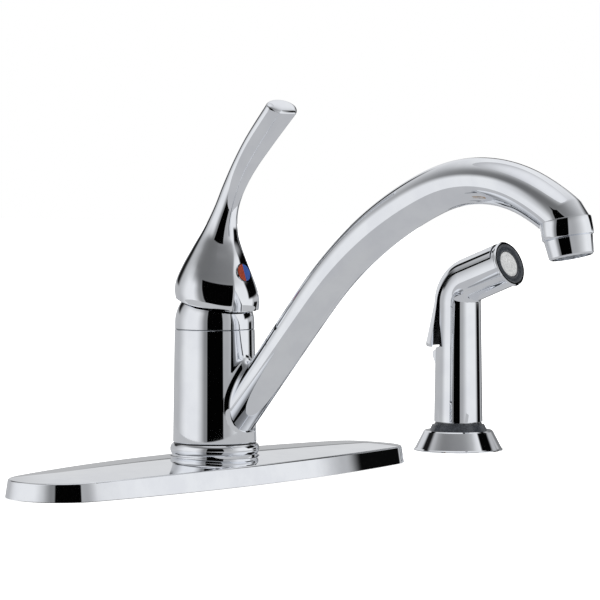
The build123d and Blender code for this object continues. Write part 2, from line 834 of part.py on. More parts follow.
def waterway():
    """The bore along the arm, on the same centre line."""
    rise_angle = (spout_rise_angle + spout_middle_angle) / 2
    fall_angle = (spout_middle_angle + spout_end_angle) / 2
    rise = arc_point(knee, spout_long_radius, spout_rise_angle, rise_angle)
    fall = arc_point(crown, spout_short_radius, spout_middle_angle, fall_angle)
    foot = next(straight_part(1))
    places = [foot, knee, rise, crown, fall, droop, tip_corner(), (-outlet_y, outlet_z)]
    foot_at, knee_at, rise_at, crown_at, fall_at, droop_at, corner_at, end_at = (
        (0, -place[0], place[1]) for place in places
    )
    line = Curve() + [
        Line(foot_at, knee_at),
        ThreePointArc(knee_at, rise_at, crown_at),
        ThreePointArc(crown_at, fall_at, droop_at),
        Bezier(droop_at, corner_at, end_at),
    ]
    return sweep(across_path(*foot) * Circle(waterway_radius), path=line)


def spout():
    edge = 0.5
    sections = [across_path(*place) * Ellipse(*spout_girth(place[0])) for place in spout_path()[:-1]]
    arm = loft(sections + [outlet_place(Pos(0, 0, -edge) * Circle(collar_top_radius))])
    sleeve = cone(body_radius_bottom, body_radius_top, trim_ring_top + glide_thick + sleeve_gap, sleeve_top)
    collar = turned(
        (0, 0), (collar_radius - edge / 2, 0), (collar_radius, -edge), (collar_radius, -collar_length + edge),
        (collar_radius - edge, -collar_length), (0, -collar_length),
    )
    whole = sleeve + arm + outlet_place(collar)
    whole -= rod(sleeve_bore, 0, sleeve_top + 1)
    whole -= waterway()
    return whole - outlet_place(rod(thread_radius, -collar_length - 1, -1.5))


thread_radius = 9.6
aerator_top = -collar_length
aerator_bottom = aerator_top - aerator_length


def aerator_housing():
    """The screwed outlet: a neck inside the collar and a slightly tapered band below it."""
    round_off = 0.8
    bore = aerator_mouth_radius - aerator_wall
    housing = turned(
        (bore, aerator_bottom),
        (aerator_mouth_radius - round_off, aerator_bottom),
        (aerator_mouth_radius, aerator_bottom + round_off),
        (aerator_radius, aerator_top - 0.5),
        (aerator_radius - 0.5, aerator_top),
        (thread_radius - fit_gap, aerator_top),
        (thread_radius - fit_gap, -2.6),
        (bore - 0.6, -2.6),
        (bore - 0.6, aerator_bottom + 2),
        (bore, aerator_bottom + 2),
    )
    return outlet_place(housing)


def aerator_insert():
    """The flow straightener, with rings of holes."""
    radius = aerator_mouth_radius - aerator_wall - 0.65
    insert = rod(radius, aerator_bottom + 2.2, aerator_top + 2)
    for ring, count in ((2.4, 6), (4.9, 12), (7.2, 18)):
        for hole in range(count):
            insert -= Rot(0, 0, 360 * hole / count) * Pos(ring, 0, 0) * rod(0.75, -aerator_length * 3, 0)
    return outlet_place(insert)


def aerator_washer():
    return outlet_place(tube(thread_radius - 0.1, waterway_radius + 0.6, -2.6, -1.5))


keep("spout", spout())
keep("aerator_housing", aerator_housing())
keep("aerator_insert", aerator_insert())
keep("aerator_washer", aerator_washer())


# ---------------------------------------------------------------- side spray: support on the deck
def beside(shape):
    """Places a shape made about the Z axis on the side spray's axis."""
    if isinstance(shape, list):
        return [beside(one) for one in shape]
    return Pos(spray_x, 0, 0) * shape


bushing_bore = spigot_radius + guide_gap


def spray_support():
    edge = 0.6
    support = turned(
        (0, -support_shank_length),
        (support_shank_radius, -support_shank_length),
        (support_shank_radius, 0.8),
        (flange_radius - 1.6, 0.8),
        (flange_radius - 1.6, 0),
        (flange_radius, 0),
        (flange_radius, edge),
        (flange_radius - edge, 2 * edge),
        (flange_top_radius, flange_top - edge),
        (flange_top_radius - edge, flange_top),
        (0, flange_top),
    )
    support -= rod(bushing_radius - 1.2, flange_top - bushing_seat, flange_top + 1)
    return support - rod(support_bore, -support_shank_length - 1, flange_top)


bushing_seat = 7.0


def support_bushing():
    """The dark plastic guide pressed into the support; the wand's spigot drops into it."""
    return turned(
        (bushing_bore, flange_top - bushing_seat),
        (bushing_radius - 1.2, flange_top - bushing_seat),
        (bushing_radius - 1.2, flange_top),
        (bushing_radius, flange_top),
        (bushing_top_radius, bushing_lip_height),
        (bushing_lip_radius + 0.4, bushing_lip_height),
        (bushing_lip_radius, bushing_top),
        (bushing_bore, bushing_top),
    )


def support_gasket():
    return tube(flange_radius - 1.8, support_shank_radius + 0.2, 0, 0.8)


def support_nut():
    top = -deck_thickness
    grip_height = 9.0
    nut = rod(support_shank_radius + 6.5, top - 2.5, top)
    grip = RegularPolygon(support_shank_radius + 5.5, 6)
    nut += extrude(Pos(0, 0, top - 2.5 - grip_height) * grip, grip_height)
    return nut - rod(support_shank_radius + fit_gap, -support_shank_length, 0)


keep("spray_support", beside(spray_support()))
keep("support_bushing", beside(support_bushing()))
keep("support_gasket", beside(support_gasket()))
keep("support_nut", beside(support_nut()))


# ---------------------------------------------------------------- side spray: wand
bend_centre = (-bend_radius, bend_height)
head_start = (
    bend_centre[0] + bend_radius * cos(radians(90 - head_rise)),
    bend_centre[1] + bend_radius * sin(radians(90 - head_rise)),
)
coupling_collar_radius = 8.6
coupling_collar_bottom = 22.0
coupling_collar_top = 26.0
clip_thick = 1.0


def head_place(shape):
    """Places a shape made along +Z on the spray head's axis, local Y towards its top."""
    frame = Plane(
        origin=(0, *head_start),
        x_dir=(1, 0, 0),
        z_dir=(0, -cos(radians(head_rise)), sin(radians(head_rise))),
    )
    return frame.location * shape


def wand_envelope(handle_low, handle_high, head):
    """Straight handle, bend and straight head as one solid of the given radii."""
    handle = cone(handle_low, handle_high, wand_bottom, bend_height)
    elbow_face = Plane(origin=(0, 0, bend_height), x_dir=(1, 0, 0), z_dir=(0, 0, 1)) * Circle(handle_high)
    head_face = head_place(Circle(head))
    steps = 4
    sections = [elbow_face]
    for step in range(1, steps):
        swing = (90 - head_rise) * step / steps
        radius = handle_high + (head - handle_high) * step / steps
        centre = (
            bend_centre[0] + bend_radius * cos(radians(swing)),
            bend_centre[1] + bend_radius * sin(radians(swing)),
        )
        plane = Plane(
            origin=(0, *centre), x_dir=(1, 0, 0), z_dir=(0, -sin(radians(swing)), cos(radians(swing)))
        )
        sections.append(plane * Circle(radius))
    sections.append(head_face)
    return handle + loft(sections) + head_place(cone(head, head - 0.2, 0, head_length))


pin_ahead = 8.0
pin_offset = 7.9
trigger_pin_radius = 1.1
trigger_pin_half = 8.0
pin_post_half = 2.6
pin_post_radius = 1.9


def bend_point(radius, swing):
    """A (y, z) point about the wand's bend centre; swing 0 is level with the handle's back."""
    return (
        bend_centre[0] + radius * cos(radians(swing)),
        bend_centre[1] + radius * sin(radians(swing)),
    )


def head_point(ahead, above):
    """A (y, z) point ahead along the spray head's axis and above it."""
    slope = radians(head_rise)
    return (
        head_start[0] - ahead * cos(slope) + above * sin(slope),
        head_start[1] + ahead * sin(slope) + above * cos(slope),
    )


def in_side_view(*edges):
    """A face in the YZ plane from edges drawn as (y, z)."""
    return Plane.YZ * make_face(Curve() + list(edges))


def across(face, half_width):
    return extrude(face, half_width, both=True)


def behind(offset, low, ahead):
    """All that lies this far or more behind the wand's centre line, up to a place on the head."""
    front = head_point(ahead, offset)
    top = bend_point(bend_radius + offset, 90 - head_rise)
    middle = bend_point(bend_radius + offset, (90 - head_rise) / 2)
    turn = bend_point(bend_radius + offset, 0)
    foot = (offset, low)
    far = 4 * wand_radius
    foot_far = (far, low - trigger_foot_slope * (far - offset))
    outside = head_point(ahead, 3 * head_radius)
    corner = (far, outside[1])
    return across(
        in_side_view(
            Line(front, top),
            ThreePointArc(top, middle, turn),
            Line(turn, foot),
            Line(foot, foot_far),
            Line(foot_far, corner),
            Line(corner, outside),
            Line(outside, front),
        ),
        2 * wand_radius,
    )


trigger_pivot = head_point(pin_ahead, pin_offset)
trigger_spread = (trigger_tip_radius - trigger_bend_radius) / (bend_height - trigger_low)


def trigger_envelope(inset):
    """The wand's own form, a little larger and spreading towards the lever's tip."""
    low_radius = trigger_bend_radius + trigger_spread * (bend_height - wand_bottom)
    return wand_envelope(low_radius - inset, trigger_bend_radius - inset, trigger_head_radius - inset)


def trigger_pin_bar(radius, half_length):
    return Pos(0, *trigger_pivot) * Rot(0, 90, 0) * Cylinder(radius, 2 * half_length)


def trigger_lever():
    """The thumb lever: a shell round the back of the handle, over the elbow and along the head."""
    shell = trigger_envelope(0) - trigger_envelope(trigger_wall)
    shell &= behind(trigger_edge, trigger_low, trigger_front)
    lug = trigger_pin_bar(trigger_pin_radius + 1.2, trigger_pin_half + 1)
    lug -= trigger_pin_bar(2 * trigger_pin_radius + 1.2, pin_post_half + 0.4)
    shell += lug & trigger_envelope(trigger_wall / 2)
    return shell - trigger_pin_bar(trigger_pin_radius + 0.03, 2 * trigger_pin_half)


def pin_post():
    """The web on the wand's head that carries the lever's pin."""
    rear, fore = pin_ahead - pin_post_radius, pin_ahead + pin_post_radius
    rear_low, fore_low = head_point(rear, 0), head_point(fore, 0)
    rear_high, fore_high = head_point(rear, pin_offset), head_point(fore, pin_offset)
    web = in_side_view(
        Line(rear_low, fore_low),
        Line(fore_low, fore_high),
        Line(fore_high, rear_high),
        Line(rear_high, rear_low),
    )
    return across(web, pin_post_half) + trigger_pin_bar(pin_post_radius, pin_post_half)


gland_radius = 4.2
gland_outer = 7.4
gland_inner = 3.0
valve_chamber_radius = 5.0
valve_chamber_far = -8.5


def stop_boss():
    """The rounded swelling under the lever's tip."""
    boss_reach = 13.9
    boss_half_width = 9.0
    boss_bottom = 44.0
    boss_top = 53.4
    swelling = turned(
        (0, boss_bottom),
        (wand_radius - 0.5, boss_bottom),
        (boss_reach, boss_bottom + 0.65 * (boss_top - boss_bottom)),
        (boss_reach, boss_top - 0.6),
        (boss_reach - 0.6, boss_top),
        (0, boss_top),
    )
    back = Pos(0, boss_reach, 0) * Box(2 * boss_half_width, 2 * boss_reach, 2 * bend_height)
    return swelling & back


def head_rim():
    """The bevelled rim round the spray head's face."""
    bevel = 0.6
    return head_place(
        turned(
            (0, head_length - 2.2),
            (head_radius - 0.3, head_length - 2.2),
            (head_rim_radius, head_length - 1.3),
            (head_rim_radius, head_length - bevel),
            (head_rim_radius - bevel, head_length),
            (0, head_length),
        )
    )


def wand_body():
    shell = wand_envelope(wand_radius_bottom, wand_radius, head_radius)
    shell += rod(spigot_radius, spigot_bottom, wand_bottom)
    shell -= behind(trigger_floor, trigger_floor_low, trigger_front + 0.6)
    shell += stop_boss()
    shell += pin_post()
    shell += head_rim()
    shell -= rod(coupling_radius + fit_gap, spigot_bottom - 1, coupling_top)
    collar_room_top = coupling_collar_top + clip_thick + 0.2
    shell -= rod(coupling_collar_radius + 0.3, coupling_collar_bottom - 0.2, collar_room_top)
    shell -= rod(2.6, coupling_top, plunger_height)
    shell -= Pos(0, 0, plunger_height) * along_y(valve_chamber_radius, valve_chamber_far, gland_inner)
    shell -= Pos(0, 0, plunger_height) * along_y(gland_radius, 0, wand_radius + 4)
    shell -= Pos(0, valve_chamber_far / 2, 0) * rod(2.6, plunger_height, bend_height + 6)
    shell -= head_place(rod(nozzle_radius, head_length - nozzle_depth, head_length + 1))
    shell -= head_place(rod(3.4, -4, head_length))
    return shell - trigger_pin_bar(trigger_pin_radius + 0.02, 2 * trigger_pin_half)


def spray_nozzle():
    """The dark ring in the spray head's face, dished towards the disc."""
    top = head_length - 0.6
    return head_place(
        turned(
            (nozzle_hole, head_length - nozzle_depth + 1.5),
            (nozzle_radius - 0.05, head_length - nozzle_depth + 1.5),
            (nozzle_radius - 0.05, top),
            (nozzle_radius - 1.2, top + 0.4),
            (nozzle_hole + 0.8, top),
            (nozzle_hole, top - 0.8),
        )
    )


def spray_disc():
    """The pale disc with rings of fine holes."""
    top = head_length - 0.9
    disc = rod(nozzle_hole - 0.03, head_length - nozzle_depth + 1.5, top)
    disc -= tube(2.9, 2.3, top - 0.4, top + 1)
    for ring, count in ((1.4, 6), (4.3, 14)):
        for hole in range(count):
            disc -= Rot(0, 0, 360 * hole / count) * Pos(ring, 0, 0) * rod(0.35, 0, head_length + 1)
    return head_place(disc)


def nozzle_washer():
    floor = head_length - nozzle_depth
    return head_place(tube(nozzle_radius - 0.1, 3.6, floor, floor + 1.5))


def inlet_coupling():
    """The swivel that the hose screws on to; the wand turns about it."""
    coupling = rod(coupling_radius, coupling_bottom, coupling_top - 0.5)
    coupling += rod(coupling_collar_radius, coupling_collar_bottom, coupling_collar_top)
    return coupling - rod(3.0, coupling_bottom - 1, coupling_top)


def coupling_clip():
    gap = Box(coupling_radius, 3.0, 3 * clip_thick)
    bottom = coupling_collar_top
    ring = tube(coupling_collar_radius - 0.6, coupling_radius + 0.02, bottom, bottom + clip_thick)
    return ring - Pos(coupling_radius + 1, 0, bottom) * gap


plunger_crown = plunger_height + plunger_radius
plunger_tip = trigger_bend_radius - trigger_wall + trigger_spread * (bend_height - plunger_crown) - 0.5
flange_thick = 1.5


def plunger():
    bar = along_y(plunger_radius, -1.0, plunger_tip)
    bar += along_y(valve_chamber_radius - 1.2, -1.0, -1.0 + flange_thick)
    return Pos(0, 0, plunger_height) * bar


def plunger_gland():
    gland = along_y(gland_radius - 0.03, gland_inner, gland_outer)
    return Pos(0, 0, plunger_height) * (gland - along_y(plunger_radius + fit_gap, 0, gland_outer + 1))


def plunger_washer():
    washer = along_y(valve_chamber_radius - 1.4, -1.0 + flange_thick, -1.0 + flange_thick + 1.6)
    return Pos(0, 0, plunger_height) * (washer - along_y(plunger_radius, -2, 3))


def return_spring():
    """A short coil between the plunger's flange and the far wall of its chamber."""
    wire = 0.35
    start = valve_chamber_far + wire + 0.05
    length = -1.0 - wire - 0.05 - start
    coil = Helix(pitch=length / 4, height=length, radius=2.6)
    section = Plane(origin=coil @ 0, z_dir=coil % 0) * Circle(wire)
    spring = sweep(section, path=coil, is_frenet=True)
    return Pos(0, start, plunger_height) * Rot(-90, 0, 0) * spring


keep("wand_body", beside(wand_body()))
keep("spray_nozzle", beside(spray_nozzle()))
keep("spray_disc", beside(spray_disc()))
keep("nozzle_washer", beside(nozzle_washer()))
keep("trigger_pin", beside(trigger_pin_bar(trigger_pin_radius, trigger_pin_half)))
keep("plunger_gland", beside(plunger_gland()))
keep("inlet_coupling", beside(inlet_coupling()))
keep("coupling_clip", beside(coupling_clip()))
keep("trigger_lever", beside(trigger_lever()))
keep("plunger", beside(plunger()))
keep("plunger_washer", beside(plunger_washer()))
keep("return_spring", beside(return_spring()))


# ---------------------------------------------------------------- files
os.makedirs("parts", exist_ok=True)
for name, shape in nodes.items():
    solid = Compound(children=shape) if isinstance(shape, list) else shape
    export_step(solid, f"parts/{name}.step")
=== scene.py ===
import math

import bmesh
import bpy
from mathutils import Matrix, Vector


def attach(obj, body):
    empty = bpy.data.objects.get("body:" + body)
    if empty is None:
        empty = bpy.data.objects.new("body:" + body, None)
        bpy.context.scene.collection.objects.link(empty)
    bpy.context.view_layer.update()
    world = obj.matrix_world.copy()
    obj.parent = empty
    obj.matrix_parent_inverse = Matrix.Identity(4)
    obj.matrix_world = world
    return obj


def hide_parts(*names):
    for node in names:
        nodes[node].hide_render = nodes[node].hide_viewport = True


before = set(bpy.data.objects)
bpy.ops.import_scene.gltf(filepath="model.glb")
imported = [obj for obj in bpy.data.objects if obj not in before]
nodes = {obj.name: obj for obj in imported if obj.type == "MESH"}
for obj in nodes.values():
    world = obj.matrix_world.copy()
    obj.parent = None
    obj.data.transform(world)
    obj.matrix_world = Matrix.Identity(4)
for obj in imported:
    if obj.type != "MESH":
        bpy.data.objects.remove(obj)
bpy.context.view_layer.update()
mm = 0.001
print("frame loaded:", len(nodes), "nodes")

# The photograph's camera: a long lens, a little above the deck and to the left of the front.
cameraView = {
    "place": (-1.25891, -1.05635, 0.16465),
    "azimuth": -51.453,  # degrees, 0 looks at the front
    "elevation": 2.679,
    "focalPixels": 3367.1,
    "imagePixels": 600,
    "sensor": 36.0,
}


def makeCamera():
    lens = bpy.data.cameras.new("studioCamera")
    lens.sensor_width = cameraView["sensor"]
    lens.lens = cameraView["sensor"] * cameraView["focalPixels"] / cameraView["imagePixels"]
    lens.clip_end = 20
    camera = bpy.data.objects.new("studioCamera", lens)
    camera.location = cameraView["place"]
    elevation = math.radians(cameraView["elevation"])
    camera.rotation_euler = (math.pi / 2 - elevation, 0, math.radians(cameraView["azimuth"]))
    bpy.context.scene.collection.objects.link(camera)
    bpy.context.scene.camera = camera


makeCamera()
bpy.context.scene.view_settings.view_transform = "Standard"
print("camera placed")


def greyLevel(value):
    return value / 12.92 if value <= 0.04045 else ((value + 0.055) / 1.055) ** 2.4


def toLinear(hexColour):
    return [greyLevel(int(hexColour[i : i + 2], 16) / 255) for i in (1, 3, 5)] + [1]


def addNode(tree, kind, settings=None, **sockets):
    # A socket is named by its label, or by its place as s0, s1 and so on; a node stands for its first output.
    node = tree.nodes.new("ShaderNode" + kind)
    for key, value in (settings or {}).items():
        setattr(node, key, value)
    for key, value in sockets.items():
        socket = node.inputs[int(key[1:]) if key[1:].isdigit() else key.replace("_", " ")]
        if isinstance(value, bpy.types.Node):
            value = value.outputs[0]
        if isinstance(value, bpy.types.NodeSocket):
            tree.links.new(value, socket)
        else:
            socket.default_value = value
    return node


def newMaterial(name):
    material = bpy.data.materials.new(name)
    material.use_nodes = True
    material.node_tree.nodes.clear()
    return material, material.node_tree


def ramp(tree, value, low, high, start, end):
    # A smooth change from start to end as value goes from low to high.
    return addNode(
        tree,
        "MapRange",
        {"interpolation_type": "SMOOTHSTEP"},
        Value=value,
        From_Min=low,
        From_Max=high,
        To_Min=start,
        To_Max=end,
    )


# A round white tent stands close round the set, open in front, with dark cloth behind. Only reflections see it.
tentPlan = {
    "centre": (41, 0),  # mm to the right of the faucet's axis and towards the camera
    "radius": 400,
    "foot": -34,
    "height": 900,
    "wall": 0.73,  # sRGB level
    "turns": 128,
    # Each card is azimuth from, its soft edge, azimuth to, its soft edge (degrees, 0 faces the camera, + is
    # right), height from, its soft edge, height to, its soft edge (mm) and sRGB level. Later ones lie on top.
    "cards": [
        (-100, 18, -45, 10, -90, 9, 2000, 9, 0.93),
        (-36, 6, 0, 4, -90, 9, 2000, 9, 0.53),
        (0, 4, 38, 8, -90, 9, 2000, 9, 0.67),
        (54, 16, 113, 4, -90, 9, 2000, 9, 0.935),
        (143, 3, 168, 4, -90, 9, 2000, 9, 0.5),
        (168, 3, 181, 1, 47, 3, 2000, 9, 0.86),
        (-181, 1, -152, 5, 47, 3, 2000, 9, 0.86),
        (168, 3, 181, 1, 46, 2, 52, 2, 0.5),
        (-181, 1, -160, 5, 46, 2, 52, 2, 0.5),
        (98, 3, 137, 3, 125, 15, 2000, 60, 0.02),
        (-148, 5, -122, 8, 140, 20, 2000, 60, 0.1),
        (119, 2, 136, 2, -90, 9, 78, 12, 0.04),
    ],
    "backdrop": [
        (-166, 2, -150, 3, 240, 20, 420, 60, 0.01),
        (150, 3, 166, 2, 150, 12, 330, 60, 0.01),
    ],
    "opening": (-25, 1.2, 19, 1.2, -90, 9, 372, 5, 0.008),
    # mean level, swing, how far left its darkest azimuth lies, the heights it starts between
    "upper": (0.68, 0.25, 25, 250, 420),
    "roof": (0.8, 0.14, 20, 480, 900),
    "gamma": 2.2,
    "colour": "#fcfdff",
}


def addCard(tree, azimuth, height, level, card):
    left, leftSoft, right, rightSoft, low, lowSoft, high, highSoft, shade = card
    mask = ramp(tree, azimuth, left - leftSoft, left + leftSoft, 0, 1)
    edges = [
        ramp(tree, azimuth, right - rightSoft, right + rightSoft, 1, 0),
        ramp(tree, height, low - lowSoft, low + lowSoft, 0, 1),
        ramp(tree, height, high - highSoft, high + highSoft, 1, 0),
    ]
    for edge in edges:
        mask = addNode(tree, "Math", {"operation": "MULTIPLY"}, s0=mask, s1=edge)
    return addNode(tree, "Mix", {"data_type": "FLOAT"}, s0=mask, s2=level, s3=greyLevel(shade))


def swingLevel(tree, azimuth, mean, swing, darkest):
    turned = addNode(tree, "Math", {"operation": "ADD"}, s0=azimuth, s1=darkest)
    radians = addNode(tree, "Math", {"operation": "RADIANS"}, s0=turned)
    wave = addNode(tree, "Math", {"operation": "COSINE"}, s0=radians)
    return addNode(tree, "Math", {"operation": "MULTIPLY_ADD"}, s0=wave, s1=-swing, s2=mean)


def toEmission(tree, level):
    # sRGB level to linear light
    return addNode(tree, "Math", {"operation": "POWER"}, s0=level, s1=tentPlan["gamma"])


def makeTent():
    material, tree = newMaterial("white tent cloth")
    place = addNode(tree, "TexCoord").outputs["Object"]
    part = addNode(tree, "SeparateXYZ", Vector=place)
    ahead = addNode(tree, "Math", {"operation": "MULTIPLY"}, s0=part.outputs["Y"], s1=-1)
    turn = addNode(tree, "Math", {"operation": "ARCTAN2"}, s0=part, s1=ahead)
    azimuth = addNode(tree, "Math", {"operation": "DEGREES"}, s0=turn)
    height = addNode(tree, "Math", {"operation": "DIVIDE"}, s0=part.outputs["Z"], s1=mm)
    level = greyLevel(tentPlan["wall"])
    for card in tentPlan["cards"]:
        level = addCard(tree, azimuth, height, level, card)
    for name in ("upper", "roof"):
        mean, swing, darkest, low, high = tentPlan[name]
        band = toEmission(tree, swingLevel(tree, azimuth, mean, swing, darkest))
        start = ramp(tree, height, low, high, 0, 1)
        level = addNode(tree, "Mix", {"data_type": "FLOAT"}, s0=start, s2=level, s3=band)
    for card in (*tentPlan["backdrop"], tentPlan["opening"]):
        level = addCard(tree, azimuth, height, level, card)
    glow = addNode(tree, "Emission", Color=toLinear(tentPlan["colour"]), Strength=level)
    addNode(tree, "OutputMaterial", Surface=glow)
    mesh = bpy.data.meshes.new("tent")
    shell = bmesh.new()
    turns = tentPlan["turns"]
    radius = tentPlan["radius"] * mm
    for end in (tentPlan["foot"], tentPlan["height"]):
        for turn in range(turns):
            angle = 2 * math.pi * turn / turns
            shell.verts.new((radius * math.cos(angle), radius * math.sin(angle), end * mm))
    shell.verts.ensure_lookup_table()
    for turn in range(turns):
        after = (turn + 1) % turns
        shell.faces.new([shell.verts[k] for k in (turn, after, turns + after, turns + turn)])
    shell.to_mesh(mesh)
    shell.free()
    tent = bpy.data.objects.new("tent", mesh)
    bpy.context.scene.collection.objects.link(tent)
    turned = math.radians(cameraView["azimuth"])
    right, ahead = tentPlan["centre"]
    tent.location = (
        mm * (right * math.cos(turned) + ahead * math.sin(turned)),
        mm * (right * math.sin(turned) - ahead * math.cos(turned)),
        0,
    )
    tent.rotation_euler = (0, 0, turned)
    mesh.materials.append(material)
    for ray in ("camera", "diffuse", "shadow", "transmission", "volume_scatter"):
        setattr(tent, "visible_" + ray, False)


worldPlan = {
    "under": 0.745,  # sRGB level
    "underRise": (-0.1, 0.0),  # how far up a ray looks, -1 to 1
    "roof": (0.74, 0.93),
    "roofRise": (0.8, 1.0),
    "soft": (0.62, 1.12),  # strength of the light that falls on matt surfaces
    "softRise": (-0.4, 1.0),
    "colour": "#fbfcff",
}


def makeWorld():
    plan = worldPlan
    world = bpy.data.worlds.new("studio")
    world.use_nodes = True
    bpy.context.scene.world = world
    tree = world.node_tree
    tree.nodes.clear()
    rays = addNode(tree, "LightPath")
    direction = addNode(tree, "TexCoord").outputs["Generated"]
    up = addNode(tree, "SeparateXYZ", Vector=direction).outputs["Z"]
    roof = ramp(tree, up, *plan["roofRise"], *(greyLevel(shade) for shade in plan["roof"]))
    under = ramp(tree, up, *plan["underRise"], 1, 0)
    level = addNode(tree, "Mix", {"data_type": "FLOAT"}, s0=under, s2=roof, s3=greyLevel(plan["under"]))
    glossy = addNode(tree, "Background", Color=toLinear(plan["colour"]), Strength=level)
    soft = ramp(tree, up, *plan["softRise"], *plan["soft"])
    diffuse = addNode(tree, "Background", Color=toLinear("#ffffff"), Strength=soft)
    white = addNode(tree, "Background", Color=toLinear("#ffffff"), Strength=1.0)
    inside = addNode(tree, "MixShader", s0=rays.outputs["Is Glossy Ray"], s1=diffuse, s2=glossy)
    final = addNode(tree, "MixShader", s0=rays.outputs["Is Camera Ray"], s1=inside, s2=white)
    addNode(tree, "OutputWorld", Surface=final)


floorPlan = {
    "half": 4.0,  # m
    "paint": "#f4f4f4",
    "lift": 0.75,  # keeps the deck pure white for the camera
    # what polished pieces see of the deck, in sRGB levels
    "level": 0.745,
    "farLevel": 0.93,
    "darkLevel": 0.01,
    "lit": 398,  # mm from the tent's centre to where the opening's dark begins
    "litSoft": 4,
    "far": (900, 1500),
    "darkSector": (-32, 24),  # degrees
    "sectorSoft": 2,
    # The deck is mirrored only where a ray has come as far as from the faucet's axis, give or take: the body's
    # girth, the slack and its soft edge in mm. The spray's own reflections pass through to the studio below.
    "axisReach": (20, 26, 6),
}


def makeFloor():
    plan = floorPlan
    half = plan["half"]
    mesh = bpy.data.meshes.new("floor")
    corners = [(-half, -half, 0), (half, -half, 0), (half, half, 0), (-half, half, 0)]
    mesh.from_pydata(corners, [], [(0, 1, 2, 3)])
    floor = bpy.data.objects.new("floor", mesh)
    bpy.context.scene.collection.objects.link(floor)
    material, tree = newMaterial("white deck")
    rays = addNode(tree, "LightPath")
    facing = addNode(tree, "NewGeometry").outputs["Backfacing"]
    paint = addNode(tree, "BsdfDiffuse", Color=toLinear(plan["paint"]))
    lift = addNode(tree, "Emission", Color=toLinear("#ffffff"), Strength=plan["lift"])
    seen = addNode(tree, "AddShader", s0=paint, s1=lift)
    place = addNode(tree, "TexCoord").outputs["Object"]
    angle = -math.radians(cameraView["azimuth"])
    turned = addNode(tree, "VectorRotate", {"rotation_type": "Z_AXIS"}, Vector=place, Angle=angle)
    scaled = addNode(tree, "VectorMath", {"operation": "SCALE"}, s0=turned, Scale=1 / mm)

    def around(right, ahead):
        # distance in mm and bearing in degrees, 0 towards the camera and + to the right
        shift = addNode(tree, "VectorMath", {"operation": "SUBTRACT"}, s0=scaled, s1=(right, -ahead, 0))
        reach = addNode(tree, "VectorMath", {"operation": "LENGTH"}, s0=shift).outputs["Value"]
        part = addNode(tree, "SeparateXYZ", Vector=shift)
        front = addNode(tree, "Math", {"operation": "MULTIPLY"}, s0=part.outputs["Y"], s1=-1)
        bearing = addNode(tree, "Math", {"operation": "ARCTAN2"}, s0=part, s1=front)
        return reach, addNode(tree, "Math", {"operation": "DEGREES"}, s0=bearing)

    reach, bearing = around(*tentPlan["centre"])
    left, right = plan["darkSector"]
    lit, litSoft, sectorSoft = plan["lit"], plan["litSoft"], plan["sectorSoft"]
    dark = ramp(tree, reach, lit - litSoft, lit + litSoft, 0, 1)
    for edge in (
        ramp(tree, bearing, left - sectorSoft, left + sectorSoft, 0, 1),
        ramp(tree, bearing, right - sectorSoft, right + sectorSoft, 1, 0),
    ):
        dark = addNode(tree, "Math", {"operation": "MULTIPLY"}, s0=dark, s1=edge)
    near, far = plan["far"]
    level = ramp(tree, reach, near, far, greyLevel(plan["darkLevel"]), greyLevel(plan["farLevel"]))
    level = addNode(tree, "Mix", {"data_type": "FLOAT"}, s0=dark, s2=greyLevel(plan["level"]), s3=level)
    mirrored = addNode(tree, "Emission", Color=toLinear(tentPlan["colour"]), Strength=level)
    girth, slack, soft = plan["axisReach"]
    reach, _ = around(0, 0)
    travelled = addNode(tree, "Math", {"operation": "DIVIDE"}, s0=rays.outputs["Ray Length"], s1=mm)
    surplus = addNode(tree, "Math", {"operation": "SUBTRACT"}, s0=travelled, s1=reach)
    surplus = addNode(tree, "Math", {"operation": "ADD"}, s0=surplus, s1=girth)
    surplus = addNode(tree, "Math", {"operation": "ABSOLUTE"}, s0=surplus)
    clear = addNode(tree, "BsdfTransparent")
    gap = ramp(tree, surplus, slack - soft, slack + soft, 1, 0)
    reflected = addNode(tree, "MixShader", s0=gap, s1=clear, s2=mirrored)
    inside = addNode(tree, "MixShader", s0=rays.outputs["Is Glossy Ray"], s1=paint, s2=reflected)
    front = addNode(tree, "MixShader", s0=rays.outputs["Is Camera Ray"], s1=inside, s2=seen)
    final = addNode(tree, "MixShader", s0=facing, s1=front, s2=clear)
    addNode(tree, "OutputMaterial", Surface=final)
    mesh.materials.append(material)


makeTent()
makeWorld()
makeFloor()
print("studio built")

